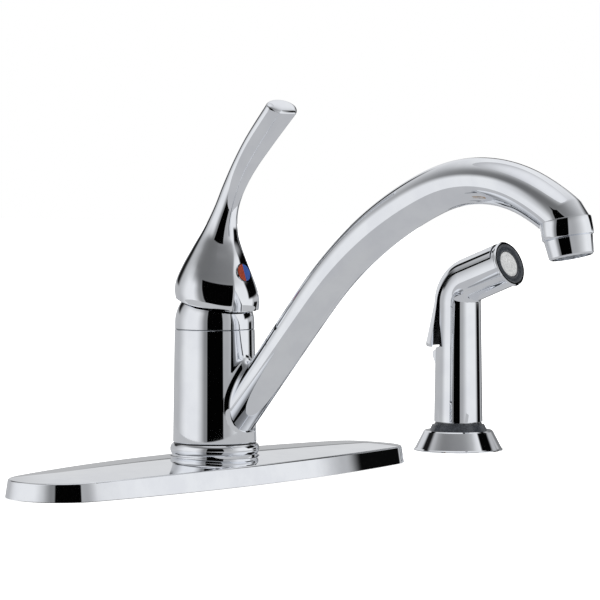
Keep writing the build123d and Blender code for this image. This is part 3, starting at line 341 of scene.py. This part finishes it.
# Each finish is its name, lighter and darker tone, metallic, the two values that roughness runs between, the
# grain's size in mm along X, Y and Z, and the bump's depth in mm.
finishes = {
    "chrome": ("polished chrome plate", "#f7f9fc", "#f1f3f7", 1, (0.012, 0.03), (14, 14, 14), 0),
    "brass": ("machined brass", "#c79a55", "#a97c3a", 1, (0.2, 0.34), (6, 6, 0.25), 0.01),
    "black_plastic": ("black moulded plastic", "#17181b", "#0e0f11", 0, (0.22, 0.36), (0.9, 0.9, 0.9), 0.01),
    "grey_plastic": ("grey acetal", "#8d9094", "#7d8084", 0, (0.38, 0.5), (1.5, 1.5, 1.5), 0.01),
    "pale_plastic": ("pale acetal", "#dfe0e0", "#cfd0d1", 0, (0.3, 0.42), (1.2, 1.2, 1.2), 0.005),
    "rubber": ("black nitrile rubber", "#202022", "#161617", 0, (0.62, 0.8), (0.8, 0.8, 0.8), 0.02),
    "steel": ("turned stainless steel", "#bfc1c3", "#a9abad", 1, (0.18, 0.3), (5, 5, 0.2), 0.005),
    "zinc": ("zinc plate", "#b4b8bd", "#9ba0a6", 1, (0.3, 0.45), (3, 3, 3), 0.01),
    "ceramic": ("lapped alumina", "#f0eee8", "#e4e1d8", 0, (0.12, 0.2), (2, 2, 2), 0),
    "hot_red": ("red enamel", "#a8482f", "#953d27", 0, (0.18, 0.28), (0.8, 0.8, 0.8), 0.004),
    "cold_blue": ("blue enamel", "#3d5faa", "#33539b", 0, (0.18, 0.28), (0.8, 0.8, 0.8), 0.004),
    "dark_face": ("dark moulded spray ring", "#43474d", "#33363b", 0, (0.14, 0.24), (1.1, 1.1, 1.1), 0.004),
    "seal": ("grey polymer seal", "#5b5e62", "#4b4e52", 0, (0.45, 0.6), (0.8, 0.8, 0.8), 0.01),
}
grainPlan = {
    "detail": 3.0,
    "roughness": 0.55,
    "tones": (0.35, 0.65),  # where in the noise the darker tone ends and the lighter begins
    "wearScale": 70.0,
    "wearDetail": 2.0,
    "wear": (0.3, 0.7),
    "bumpStrength": 0.6,
}
materials = {}


def makeFinish(slot):
    plan = grainPlan
    name, light, shade, metallic, roughness, grain, bump = finishes[slot]
    material, tree = newMaterial(name)
    place = addNode(tree, "TexCoord").outputs["Object"]
    size = [1 / (step * mm) for step in grain]
    spread = addNode(tree, "Mapping", Vector=place, Scale=size)
    pattern = addNode(
        tree, "TexNoise", Vector=spread, Scale=1.0, Detail=plan["detail"], Roughness=plan["roughness"]
    )
    between = ramp(tree, pattern, *plan["tones"], 0, 1)
    tone = addNode(tree, "Mix", {"data_type": "RGBA"}, s0=between, s6=toLinear(shade), s7=toLinear(light))
    wear = addNode(tree, "TexNoise", Vector=place, Scale=plan["wearScale"], Detail=plan["wearDetail"])
    rough = ramp(tree, wear, *plan["wear"], *roughness)
    surface = addNode(
        tree, "BsdfPrincipled", Base_Color=tone.outputs[2], Metallic=metallic, Roughness=rough
    )
    if bump:
        lift = addNode(tree, "Bump", Height=pattern, Strength=plan["bumpStrength"], Distance=bump * mm)
        tree.links.new(lift.outputs[0], surface.inputs["Normal"])
    addNode(tree, "OutputMaterial", Surface=surface)
    return material


for slot in finishes:
    materials[slot] = makeFinish(slot)
special = {"support_bushing": "dark_face"}
for name, node in nodes.items():
    for place in node.material_slots:
        place.material = materials[special.get(name, place.material.name)]
print("finishes made:", len(materials))


def addPiece(name, body, mesh, slot):
    piece = bpy.data.objects.new(name, mesh)
    bpy.context.scene.collection.objects.link(piece)
    mesh.materials.append(materials[slot])
    for polygon in mesh.polygons:
        polygon.use_smooth = True
    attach(piece, body)
    return piece


def addRings(shell, rings, closed=False):
    # Joins rings of points, each with the same number, with quads; closed joins the last ring to the first.
    rows = [[shell.verts.new(point) for point in ring] for ring in rings]
    pairs = list(zip(rows, rows[1:])) + ([(rows[-1], rows[0])] if closed else [])
    for low, high in pairs:
        for k in range(len(low)):
            after = (k + 1) % len(low)
            shell.faces.new((low[k], low[after], high[after], high[k]))
    return rows


def turnedRings(profile, turns, place=Matrix.Identity(4)):
    # profile is (radius, height) in mm
    angles = [2 * math.pi * k / turns for k in range(turns)]
    return [
        [place @ Vector((radius * math.cos(angle), radius * math.sin(angle), height)) * mm for angle in angles]
        for radius, height in profile
    ]


def cubicPoint(ends, share):
    # a place on the cubic curve that these four points steer
    left = 1 - share
    weights = (left**3, 3 * share * left**2, 3 * share**2 * left, share**3)
    return sum((end * weight for end, weight in zip(ends, weights)), Vector([0] * len(ends[0])))


def finishMesh(name, shell):
    bmesh.ops.recalc_face_normals(shell, faces=shell.faces)
    mesh = bpy.data.meshes.new(name)
    shell.to_mesh(mesh)
    shell.free()
    return mesh


def sharpen(piece, degrees):
    shell = bmesh.new()
    shell.from_mesh(piece.data)
    for edge in shell.edges:
        if len(edge.link_faces) == 2 and edge.calc_face_angle(0) > math.radians(degrees):
            edge.smooth = False
    shell.to_mesh(piece.data)
    shell.free()


spoutPlan = {
    "sleeve": (20.5, 19.6, 18.55, 73.8),  # radius at the bottom and top, heights
    "bore": 16.0,
    "edge": 0.35,
    "startHeight": 38.6,
    "riseAngle": 50.3,
    "straight": 66.3,
    "longRadius": 186.8,
    "middleAngle": 23.25,
    "shortRadius": 67.4,
    "endAngle": -30.0,
    "rootGirth": (10.4, 9.2),
    "tipGirth": (11.3, 10.7),
    "swellEnd": 0.6,  # share of the way to the tip where the arm has its full depth
    "outletShift": (12.56, -8.36),
    "outletTilt": 12.5,
    "collar": (11.9, 8.4, 0.5),  # radius, length, edge
    "collarTop": (11.3, 0.5),  # the arm's last ring: its radius, and how far down in the collar it ends
    "thread": (9.6, 1.5),
    "lip": (0.6, 0.05),  # the collar's upper edge: how far in it starts and how much lower it turns down
    "chamfer": 0.15,
    "fillet": 3.6,
    "filletSteps": 14,
    "filletSkirt": [(1.2, 0.06), (0.5, 0.02)],  # past the fillet on the sleeve, and sunk into it
    "meetRange": (-30.0, 40.0),  # along the arm from its foot
    "meetHalvings": 40,
    "rootClear": 1.0,  # gap between the fillet's last ring and the arm's first
    "fallLimit": 0.55,  # an arm ring whose direction climbs less than this is past the root anyway
    "turns": 96,
    "sleeveSteps": 12,
    "lineSteps": (26, 36, 26, 8),  # straight, long arc, short arc, outlet
    "smoothing": 12,
    "sharp": 32,
}


def spoutLine():
    plan = spoutPlan

    def arc(start, radius, fromAngle, toAngle, share):
        angle = math.radians(fromAngle + (toAngle - fromAngle) * share)
        first = math.radians(fromAngle)
        return (
            start[0] + radius * (math.sin(first) - math.sin(angle)),
            start[1] + radius * (math.cos(angle) - math.cos(first)),
        )

    rise = math.radians(plan["riseAngle"])
    foot = (plan["sleeve"][0], plan["startHeight"])
    knee = (foot[0] + plan["straight"] * math.cos(rise), foot[1] + plan["straight"] * math.sin(rise))
    crown = arc(knee, plan["longRadius"], plan["riseAngle"], plan["middleAngle"], 1)
    droop = arc(crown, plan["shortRadius"], plan["middleAngle"], plan["endAngle"], 1)
    end = (droop[0] + plan["outletShift"][0], droop[1] + plan["outletShift"][1])
    ahead = (math.cos(math.radians(plan["endAngle"])), math.sin(math.radians(plan["endAngle"])))
    fall = math.radians(plan["outletTilt"] - 90)
    down = (math.cos(fall), math.sin(fall))
    gap = plan["outletShift"]
    run = (gap[0] * down[1] - gap[1] * down[0]) / (ahead[0] * down[1] - ahead[1] * down[0])
    corner = (droop[0] + run * ahead[0], droop[1] + run * ahead[1])
    straight, long, short, outlet = plan["lineSteps"]
    line = []
    for share in (k / straight for k in range(straight)):
        line.append((foot[0] + (knee[0] - foot[0]) * share, foot[1] + (knee[1] - foot[1]) * share))
    for start, radius, fromAngle, toAngle, steps in (
        (knee, plan["longRadius"], plan["riseAngle"], plan["middleAngle"], long),
        (crown, plan["shortRadius"], plan["middleAngle"], plan["endAngle"], short),
    ):
        line += [arc(start, radius, fromAngle, toAngle, k / steps) for k in range(steps)]
    for share in (k / outlet for k in range(outlet + 1)):
        weights = ((1 - share) ** 2, 2 * share * (1 - share), share**2)
        line.append(tuple(sum(w * p[i] for w, p in zip(weights, (droop, corner, end))) for i in (0, 1)))
    for _ in range(plan["smoothing"]):
        inner = [
            tuple((before[i] + 2 * here[i] + after[i]) / 4 for i in (0, 1))
            for before, here, after in zip(line, line[1:], line[2:])
        ]
        line = [line[0], *inner, line[-1]]
    return line, end


def armGirth(forward, tip):
    plan = spoutPlan
    root = plan["sleeve"][0]
    share = min(max((forward - root) / (tip - root), 0), 1)
    swell = min(share / plan["swellEnd"], 1)
    blends = [part * part * (3 - 2 * part) for part in (share, swell)]
    return [low + (high - low) * blend for low, high, blend in zip(plan["rootGirth"], plan["tipGirth"], blends)]


def sleeveRadius(height):
    low, high, bottom, top = spoutPlan["sleeve"]
    return low + (high - low) * (height - bottom) / (top - bottom)


def onSleeve(point, sink=0.0):
    # the nearest place on the sleeve's face at the same height and bearing
    flat = Vector((point.x, point.y))
    flat *= (sleeveRadius(point.z) - sink) / flat.length
    return Vector((flat.x, flat.y, point.z))


def rootRings(turns):
    # a concave fillet between the sleeve and the arm, as rings from the sleeve's face out to the straight arm
    plan = spoutPlan
    rise = math.radians(plan["riseAngle"])
    along = Vector((0, -math.cos(rise), math.sin(rise)))
    upward = Vector((0, math.sin(rise), math.cos(rise)))
    foot = Vector((0, -plan["sleeve"][0], plan["startHeight"]))
    halfWidth, halfDepth = plan["rootGirth"]
    steps = plan["filletSteps"]
    skirt = plan["filletSkirt"]
    rings = [[] for _ in range(len(skirt) + steps + 1)]
    for turn in range(turns):
        angle = 2 * math.pi * turn / turns
        sideways, lifted = Vector((math.cos(angle), 0, 0)), upward * math.sin(angle)
        start = foot + sideways * halfWidth + lifted * halfDepth
        outward = (sideways / halfWidth + lifted / halfDepth).normalized()
        low, high = plan["meetRange"]
        for _ in range(plan["meetHalvings"]):
            middle = (low + high) / 2
            place = start + along * middle
            inside = math.hypot(place.x, place.y) < sleeveRadius(place.z)
            low, high = (middle, high) if inside else (low, middle)
        meet = start + along * high
        normal = Vector((meet.x, meet.y, 0)).normalized()
        away = (outward - normal * outward.dot(normal)).normalized()
        wedge = math.acos(max(-1, min(1, along.dot(away))))
        reach = plan["fillet"] / math.tan(wedge / 2)
        pull = 4 / 3 * math.tan((math.pi - wedge) / 4) * plan["fillet"]
        ends = [onSleeve(meet + away * reach), onSleeve(meet + away * (reach - pull))]
        ends += [meet + along * (reach - pull), meet + along * reach]
        points = [onSleeve(meet + away * (reach + past), sink) for past, sink in skirt]
        points += [cubicPoint(ends, step / steps) for step in range(steps + 1)]
        for ring, point in zip(rings, points):
            ring.append(point * mm)
    return rings


def makeSpout():
    plan = spoutPlan
    turns = plan["turns"]
    line, end = spoutLine()
    shell = bmesh.new()
    low, high, bottom, top = plan["sleeve"]
    edge, bore, steps = plan["edge"], plan["bore"], plan["sleeveSteps"]
    profile = [(bore, bottom), (low - edge, bottom), (low, bottom + edge)]
    for k in range(1, steps):
        height = bottom + (top - bottom) * k / steps
        profile.append((sleeveRadius(height), height))
    profile += [(high, top - edge), (high - edge, top), (bore, top)]
    addRings(shell, turnedRings(profile, turns), closed=True)
    rings = rootRings(turns)
    arm = []
    for k in range(1, len(line) - 1):
        before, here, after = line[k - 1], line[k], line[k + 1]
        run = Vector((0, before[0] - after[0], after[1] - before[1])).normalized()
        upward = Vector((0, run.z, -run.y))
        halfWidth, halfDepth = armGirth(here[0], end[0])
        centre = Vector((0, -here[0], here[1]))
        ring = []
        for turn in range(turns):
            angle = 2 * math.pi * turn / turns
            across = Vector((halfWidth * math.cos(angle), 0, 0))
            ring.append((centre + across + upward * halfDepth * math.sin(angle)) * mm)
        arm.append((run, ring))
    rise = math.radians(plan["riseAngle"])
    along = Vector((0, -math.cos(rise), math.sin(rise)))
    clear = max(point.dot(along) for point in rings[-1]) + plan["rootClear"] * mm
    for run, ring in arm:
        if run.z < plan["fallLimit"] or min(point.dot(along) for point in ring) > clear:
            rings.append(ring)
    tilt = Matrix.Translation((0, -end[0], end[1])) @ Matrix.Rotation(-math.radians(plan["outletTilt"]), 4, "X")
    lastRadius, lastDepth = plan["collarTop"]
    rings += turnedRings([(lastRadius, -lastDepth)], turns, tilt @ Matrix.Scale(-1, 4, (0, 1, 0)))
    addRings(shell, rings)
    radius, length, rounding = plan["collar"]
    threadRadius, threadEnd = plan["thread"]
    lipIn, lipDown = plan["lip"]
    chamfer = plan["chamfer"]
    collar = [
        (threadRadius, -threadEnd),
        (radius - rounding / 2 - lipIn, 0),
        (radius - rounding / 2, -lipDown),
        (radius, -rounding),
        (radius, -length + rounding),
        (radius - chamfer, -length + chamfer),
        (radius - rounding, -length),
        (threadRadius, -length),
    ]
    addRings(shell, turnedRings(collar, turns, tilt), closed=True)
    piece = addPiece("spout_polished", "spout", finishMesh("spout_polished", shell), "chrome")
    sharpen(piece, plan["sharp"])
    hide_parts("spout")


makeSpout()
print("spout made")

platePlan = {
    "length": 272.9,
    "width": 75.0,
    "endRadius": 27.0,
    "foot": 0.5,
    "top": 9.9,
    "sag": 1.1,  # how much lower the ends are
    "crown": 2.3,  # how much higher the middle is than the edge
    "crest": 10.0,  # within this of the middle line the top's ridge is rounded off
    "draft": 1.15,
    "edgeRound": 1.0,
    "wall": 1.8,
    "ceiling": 7.0,
    "hole": 16.0,
    "seat": 21.7,  # radius of the flat place that the trim ring stands on
    "endPoints": 60,
    "sidePoints": 90,
    "wallShares": (0.1, 0.5, 1.0),
    "edgeSteps": 8,
    "topRings": 44,
    "topSpread": 1.7,  # above 1 puts the rings closer together near the seat
    "sharp": 40,
}


def plateArcs():
    # The end circles' centres lie at endX, and the side circles' at sideDrop beyond the middle. A side circle's
    # radius is an end circle's plus rise and sideDrop.
    plan = platePlan
    endX = plan["length"] / 2 - plan["endRadius"]
    rise = plan["width"] / 2 - plan["endRadius"]
    return endX, rise, (endX**2 - rise**2) / (2 * rise)


def plateOutline(inset):
    # the plate's oval, moved inwards by inset; points in mm
    plan = platePlan
    endX, rise, sideDrop = plateArcs()
    join = math.degrees(math.atan2(sideDrop, endX))
    arcs = [
        (endX, 0, plan["endRadius"], -join, join, plan["endPoints"]),
        (0, -sideDrop, rise + sideDrop + plan["endRadius"], join, 180 - join, plan["sidePoints"]),
        (-endX, 0, plan["endRadius"], 180 - join, 180 + join, plan["endPoints"]),
        (0, sideDrop, rise + sideDrop + plan["endRadius"], 180 + join, 360 - join, plan["sidePoints"]),
    ]
    points = []
    for x, y, radius, start, end, count in arcs:
        reach = radius - inset
        for k in range(count):
            angle = math.radians(start + (end - start) * k / count)
            points.append(Vector((x + reach * math.cos(angle), y + reach * math.sin(angle))))
    return points


def plateTop(point, inset):
    # the height of the plate's top at a place that lies this far in from the outline
    plan = platePlan
    start = plan["draft"] + plan["edgeRound"]
    share = min(max((inset - start) / (plan["width"] / 2 - start), 0), 1)
    drop = plan["sag"] * (2 * point.x / plan["length"]) ** 2
    return plan["top"] - drop + plan["crown"] * (1 - (1 - share) ** 2)


def insetOf(point):
    # how far in from the outline a place lies, with the ridge along the middle rounded off
    plan = platePlan
    endX, rise, sideDrop = plateArcs()
    x, y, crest = abs(point.x), abs(point.y), plan["crest"]
    if y < crest:
        y = (y**2 + crest**2) / (2 * crest)
    if (x - endX) * sideDrop > y * endX:
        return plan["endRadius"] - math.hypot(x - endX, y)
    return rise + sideDrop + plan["endRadius"] - math.hypot(x, y + sideDrop)


def makePlate():
    plan = platePlan
    outline = plateOutline(0)
    bearings = [math.atan2(point.y, point.x) for point in outline]

    def circle(radius):
        return [Vector((radius * math.cos(a), radius * math.sin(a))) for a in bearings]

    def level(points, height):
        return [Vector((point.x, point.y, height)) * mm for point in points]

    foot, rounding = plan["foot"], plan["edgeRound"]
    rim = plan["draft"] + rounding

    def wallRing(inset, heightAt):
        # heightAt turns the height where the wall meets the rounded edge into the ring's own
        ring = []
        for point in plateOutline(inset):
            ring.append(Vector((point.x, point.y, heightAt(plateTop(point, rim) - rounding))) * mm)
        return ring

    rings = [level(outline, foot)]
    for share in plan["wallShares"]:
        rings.append(wallRing(plan["draft"] * share, lambda edge: foot + (edge - foot) * share))
    for step in range(1, plan["edgeSteps"]):
        angle = math.pi / 2 * step / plan["edgeSteps"]
        inset = plan["draft"] + rounding * (1 - math.cos(angle))
        rings.append(wallRing(inset, lambda edge: edge + rounding * math.sin(angle)))
    outer = plateOutline(rim)
    inner = circle(plan["seat"])
    for step in range(plan["topRings"] + 1):
        share = 1 - (1 - step / plan["topRings"]) ** plan["topSpread"]
        ring = []
        for far, near in zip(outer, inner):
            point = far.lerp(near, share)
            ring.append(Vector((point.x, point.y, plateTop(point, insetOf(point)))) * mm)
        rings.append(ring)
    rings.append(level(inner, plan["top"]))
    rings.append(level(circle(plan["hole"]), plan["top"]))
    rings.append(level(circle(plan["hole"]), plan["ceiling"]))
    rings.append(level(plateOutline(plan["wall"] + plan["draft"]), plan["ceiling"]))
    rings.append(level(plateOutline(plan["wall"]), plan["foot"]))
    shell = bmesh.new()
    addRings(shell, rings, closed=True)
    piece = addPiece("plate_polished", "base", finishMesh("plate_polished", shell), "chrome")
    sharpen(piece, plan["sharp"])
    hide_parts("deck_plate")


makePlate()
print("plate made")

leverPlan = {
    "pivot": 76.6,
    "skirtSphere": 21.49,
    "skirtSteps": 12,
    "between": 7,
    "outlineSteps": (6, 6, 24, 24),  # strip, its edge, side, back
    "edgeShare": 0.3,  # at most this much of the strip and of the side goes to the edge
    "flattest": 0.98,
    "dome": 2.4,
    "domePower": 0.6,
    "domeSteps": 14,
    "pin": 0.02,  # the last ring of a closed end
    "sharp": 40,
    # forward, above the pivot, lean, half width, half depth, the flat strip's half width and depth, its bulge,
    # the side's fullness, the strip's edge
    "sections": [
        (1.8, 9.8, 10.4, 20.7, 20.7, 10.5, 17.8, 2.3, 0.5, 0.5),
        (1.9, 13.9, 9.0, 21.2, 21.2, 10.2, 18.3, 2.2, 0.45, 0.5),
        (2.0, 19.4, 7.0, 20.4, 20.4, 8.7, 17.7, 1.6, 0.4, 0.5),
        (2.3, 26.9, 7.0, 17.4, 17.4, 6.8, 15.2, 1.0, 0.35, 0.5),
        (3.0, 35.4, 10.0, 13.1, 13.1, 4.0, 12.6, 0.5, 0.5, 0.5),
        (4.2, 44.4, 16.0, 8.9, 8.6, 2.2, 8.7, 0.15, 0.85, 0.5),
        (7.2, 54.9, 24.0, 6.1, 5.9, 1.9, 5.9, 0.1, 0.95, 0.5),
        (11.8, 65.4, 31.0, 5.8, 5.2, 2.4, 4.8, 0.1, 0.9, 0.5),
        (18.3, 76.4, 36.0, 7.2, 4.6, 3.5, 4.7, 0.1, 0.8, 0.5),
        (27.9, 88.9, 38.5, 9.1, 4.7, 4.8, 5.0, 0.1, 0.7, 0.5),
        (41.8, 104.6, 40.0, 10.4, 5.0, 6.2, 5.0, 0.1, 0.7, 0.5),
    ],
}


def leverOutline(halfWidth, halfDepth, strip, depth, bulge, fullness, edge):
    # Right half of the section, front middle to back middle, in mm; the front looks to -Y.
    plan = leverPlan
    stripSteps, edgeSteps, sideSteps, backSteps = plan["outlineSteps"]
    swing = math.acos(min(strip / halfWidth, plan["flattest"]))
    full = depth / math.sin(swing)
    handle = 4 / 3 * math.tan(swing / 4)
    corner = Vector((strip, -depth))
    roundOne = Vector((strip + handle * halfWidth * math.sin(swing), -depth + handle * full * math.cos(swing)))
    straightOne = Vector((strip + (halfWidth - strip) / 3, -depth * 2 / 3))
    one = straightOne.lerp(roundOne, fullness)
    two = Vector((halfWidth, -full * handle * (fullness + 1) / 2))
    side = [corner, one, two, Vector((halfWidth, 0))]
    first = min(edge / (3 * (one - corner).length), plan["edgeShare"])
    stripEnd = max(strip - edge, strip * plan["edgeShare"])
    points = []
    for k in range(stripSteps + 1):
        across = stripEnd * k / stripSteps
        points.append(Vector((across, -depth - bulge * (1 - (across / strip) ** 2))))
    front, back = points.pop(), cubicPoint(side, first)
    for share in (k / edgeSteps for k in range(edgeSteps + 1)):
        points.append(front * (1 - share) ** 2 + corner * 2 * share * (1 - share) + back * share**2)
    points += [cubicPoint(side, first + (1 - first) * k / sideSteps) for k in range(1, sideSteps + 1)]
    for angle in (math.pi / 2 * k / backSteps for k in range(1, backSteps + 1)):
        points.append(Vector((halfWidth * math.cos(angle), halfDepth * math.sin(angle))))
    return points


def leverSection(values):
    forward, above, lean, *shape = values
    right = leverOutline(*shape)
    ring = right + [Vector((-point.x, point.y)) for point in right[-2:0:-1]]
    place = Matrix.Translation((0, -forward, leverPlan["pivot"] + above))
    return ring, place @ Matrix.Rotation(math.radians(lean), 4, "X")


def blendSections(sections, between):
    # cubic steps between the sections' values, evened by the distance between them
    stations = [0.0]
    for one, two in zip(sections, sections[1:]):
        stations.append(stations[-1] + math.hypot(two[0] - one[0], two[1] - one[1]))
    slopes = []
    for k in range(len(sections)):
        low, high = max(k - 1, 0), min(k + 1, len(sections) - 1)
        gap = stations[high] - stations[low]
        slopes.append([(b - a) / gap for a, b in zip(sections[low], sections[high])])
    filled = []
    for k in range(len(sections) - 1):
        gap = stations[k + 1] - stations[k]
        for step in range(between):
            t = step / between
            weights = (2 * t**3 - 3 * t**2 + 1, t**3 - 2 * t**2 + t, 3 * t**2 - 2 * t**3, t**3 - t**2)
            values = []
            for a, da, b, db in zip(sections[k], slopes[k], sections[k + 1], slopes[k + 1]):
                values.append(weights[0] * a + weights[1] * gap * da + weights[2] * b + weights[3] * gap * db)
            filled.append(values)
    return filled + [list(sections[-1])]


def leverDome():
    # the rounded end of the blade, over the last section
    plan = leverPlan
    section = plan["sections"][-1]
    ring, place = leverSection(section)
    middle = Vector((0, (section[4] - section[6]) / 2))
    levels = []
    for step in range(1, plan["domeSteps"]):
        angle = math.pi / 2 * step / plan["domeSteps"]
        levels.append((math.cos(angle) ** plan["domePower"], plan["dome"] * math.sin(angle)))
    levels.append((plan["pin"], plan["dome"]))
    rings = []
    for spread, height in levels:
        flat = [middle + (point - middle) * spread for point in ring]
        rings.append([place @ Vector((point.x, point.y, height)) * mm for point in flat])
    return rings


def skirtHollow(rim):
    # the skirt's inside: part of a ball about the pivot, from the rim up to the lever's own axis
    plan = leverPlan
    pivot = Vector((0, 0, plan["pivot"]))
    _, place = leverSection(plan["sections"][0])
    axis = (place.to_3x3() @ Vector((0, 0, 1))).normalized()
    ways = [(point / mm - pivot).normalized() for point in rim]
    rows = []
    for step in range(plan["skirtSteps"]):
        share = step / plan["skirtSteps"]
        rows.append([(pivot + way.slerp(axis, share) * plan["skirtSphere"]) * mm for way in ways])
    rows.append([(pivot + axis * plan["skirtSphere"] + way * plan["pin"]) * mm for way in ways])
    return rows


def makeLever():
    plan = leverPlan
    rings = []
    for values in blendSections(plan["sections"], plan["between"]):
        ring, place = leverSection(values)
        rings.append([place @ point.to_3d() * mm for point in ring])
    shell = bmesh.new()
    made = addRings(shell, skirtHollow(rings[0])[::-1] + rings + leverDome())
    shell.faces.new(made[0][::-1])
    shell.faces.new(made[-1])
    piece = addPiece("lever_polished", "handle", finishMesh("lever_polished", shell), "chrome")
    sharpen(piece, plan["sharp"])
    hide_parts("lever_handle")


makeLever()
print("lever made")

thumbPlan = {
    "axisX": 203.2,
    "bendHeight": 79.0,
    "bendRadius": 13.2,
    "headRise": 20.5,
    "headEnd": 22.6,
    "tip": 55.6,
    "tipRadius": 17.8,
    "bendOuter": 13.0,
    "headOuter": 12.35,
    "wall": 1.6,
    "wallThinning": 0.85,  # how much of the wall is gone where it lies on the head
    "edges": (6.2, 5.0),  # how far behind the wand's middle the side edges lie, at the tip and on the head
    "flattest": 0.98,
    # distance from the tip and how much thinner the outside is there; the inside turns in by a share of that
    "tipRounding": [(0.0, 0.75), (0.4, 0.45), (1.0, 0.2), (1.8, 0.05), (3.0, 0.0)],
    "innerShare": 0.3,
    "along": 60,
    "across": 40,
    "sharp": 40,
}


def thumbRuns():
    # the lengths of the straight and of the bend, and the bend's angle
    plan = thumbPlan
    sweep = math.radians(90 - plan["headRise"])
    return plan["bendHeight"] - plan["tip"], plan["bendRadius"] * sweep, sweep


def thumbCentre(distance):
    # A place on the wand's middle line, measured up from the lever's tip, with its outward direction, and how
    # far along the straight and round the bend it is, 0 to 1.
    plan = thumbPlan
    straight, bend, sweep = thumbRuns()
    if distance <= straight:
        return Vector((0, plan["tip"] + distance)), Vector((1, 0)), distance / straight, 0.0
    swing = min((distance - straight) / plan["bendRadius"], sweep)
    out = Vector((math.cos(swing), math.sin(swing)))
    place = Vector((-plan["bendRadius"], plan["bendHeight"])) + out * plan["bendRadius"]
    past = max(distance - straight - bend, 0.0)
    ahead = Vector((-math.sin(sweep), math.cos(sweep)))
    return place + ahead * past, out, 1.0, swing / sweep


def makeThumbLever():
    plan = thumbPlan
    straight, bend, _ = thumbRuns()
    total = straight + bend + plan["headEnd"]
    across = plan["across"]

    def surface(inset, distance):
        place, out, rise, turned = thumbCentre(distance)
        radius = plan["tipRadius"] + (plan["bendOuter"] - plan["tipRadius"]) * rise
        radius += (plan["headOuter"] - plan["bendOuter"]) * turned
        radius -= inset * (1 - plan["wallThinning"] * turned)
        low, high = plan["edges"]
        widest = math.acos(min((low + (high - low) * turned) / radius, plan["flattest"]))
        row = []
        for k in range(across + 1):
            angle = widest * (2 * k / across - 1)
            side, behind = radius * math.sin(angle), radius * math.cos(angle)
            at = place + out * behind
            row.append(Vector((plan["axisX"] + side, at.x, at.y)) * mm)
        return row

    stations = list(plan["tipRounding"])
    start, count = stations[-1][0], plan["along"]
    stations += [(start + (total - start) * k / count, 0.0) for k in range(1, count + 1)]
    outer = [surface(thinner, distance) for distance, thinner in stations]
    inner = [surface(plan["wall"] - thinner * plan["innerShare"], distance) for distance, thinner in stations]
    shell = bmesh.new()
    grids = []
    for rows in (outer, inner):
        grids.append([[shell.verts.new(point) for point in row] for row in rows])
    for index, rows in enumerate(grids):
        for low, high in zip(rows, rows[1:]):
            for k in range(across):
                face = shell.faces.new((low[k], low[k + 1], high[k + 1], high[k]))
                face.material_index = index
    front, back = grids
    for k in range(across):
        for end in (0, -1):
            shell.faces.new((front[end][k], front[end][k + 1], back[end][k + 1], back[end][k]))
    for low in range(len(stations) - 1):
        for side in (0, -1):
            shell.faces.new((front[low][side], front[low + 1][side], back[low + 1][side], back[low][side]))
    piece = addPiece("thumb_lever", "trigger", finishMesh("thumb_lever", shell), "chrome")
    # painted shade: the lever's inside takes black plastic so that the gap between the lever and the wand shows
    # dark; the outside stays chrome
    piece.data.materials.append(materials["black_plastic"])
    sharpen(piece, plan["sharp"])
    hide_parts("trigger_lever")


makeThumbLever()
print("thumb lever made")

sealPlan = {"low": 73.78, "high": 74.12, "inner": 16.2, "outer": 19.35, "edge": 0.15, "turns": 96}


def makeCapSeal():
    plan = sealPlan
    low, high, inner, outer = plan["low"], plan["high"], plan["inner"], plan["outer"]
    shoulder, crest = outer - plan["edge"], (low + high) / 2
    profile = [(inner, low), (shoulder, low), (outer, crest), (shoulder, high), (inner, high)]
    shell = bmesh.new()
    addRings(shell, turnedRings(profile, plan["turns"]), closed=True)
    addPiece("cap_seal", "base", finishMesh("cap_seal", shell), "seal")


makeCapSeal()
print("seal made")

facePlan = {
    "start": (203.2, -8.577, 91.364),
    "rise": 20.5,
    "length": 26.6,
    # radius and height above the head's end, in mm
    "ring": [(7.0, -2.4), (7.0, -0.9), (7.5, -0.45), (8.3, -0.75), (9.3, -0.8), (10.2, -0.35)]
    + [(10.85, -0.05), (10.85, -2.4)],
    "disc": [(0.02, 0.35), (1.1, 0.32), (1.45, -0.05), (2.3, -0.1), (2.6, 0.2), (3.5, 0.15), (3.85, -0.3)]
    + [(4.7, -0.35), (5.0, 0.0), (5.9, -0.1), (6.3, -0.6), (6.85, -0.8), (6.85, -1.6), (0.02, -1.6)],
    "turns": 72,
    "sharp": 50,
}


def makeSprayFace():
    plan = facePlan
    tilt = Matrix.Rotation(math.radians(90 - plan["rise"]), 4, "X")
    start = Vector(plan["start"])
    axis = tilt.to_3x3() @ Vector((0, 0, 1))
    place = Matrix.Translation(start + axis * plan["length"]) @ tilt
    for name, profile, slot, node in (
        ("spray_ring", plan["ring"], "dark_face", "spray_nozzle"),
        ("spray_rose", plan["disc"], "pale_plastic", "spray_disc"),
    ):
        shell = bmesh.new()
        addRings(shell, turnedRings(profile, plan["turns"], place), closed=True)
        piece = addPiece(name, "wand", finishMesh(name, shell), slot)
        sharpen(piece, plan["sharp"])
        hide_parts(node)


makeSprayFace()
print("spray face made")
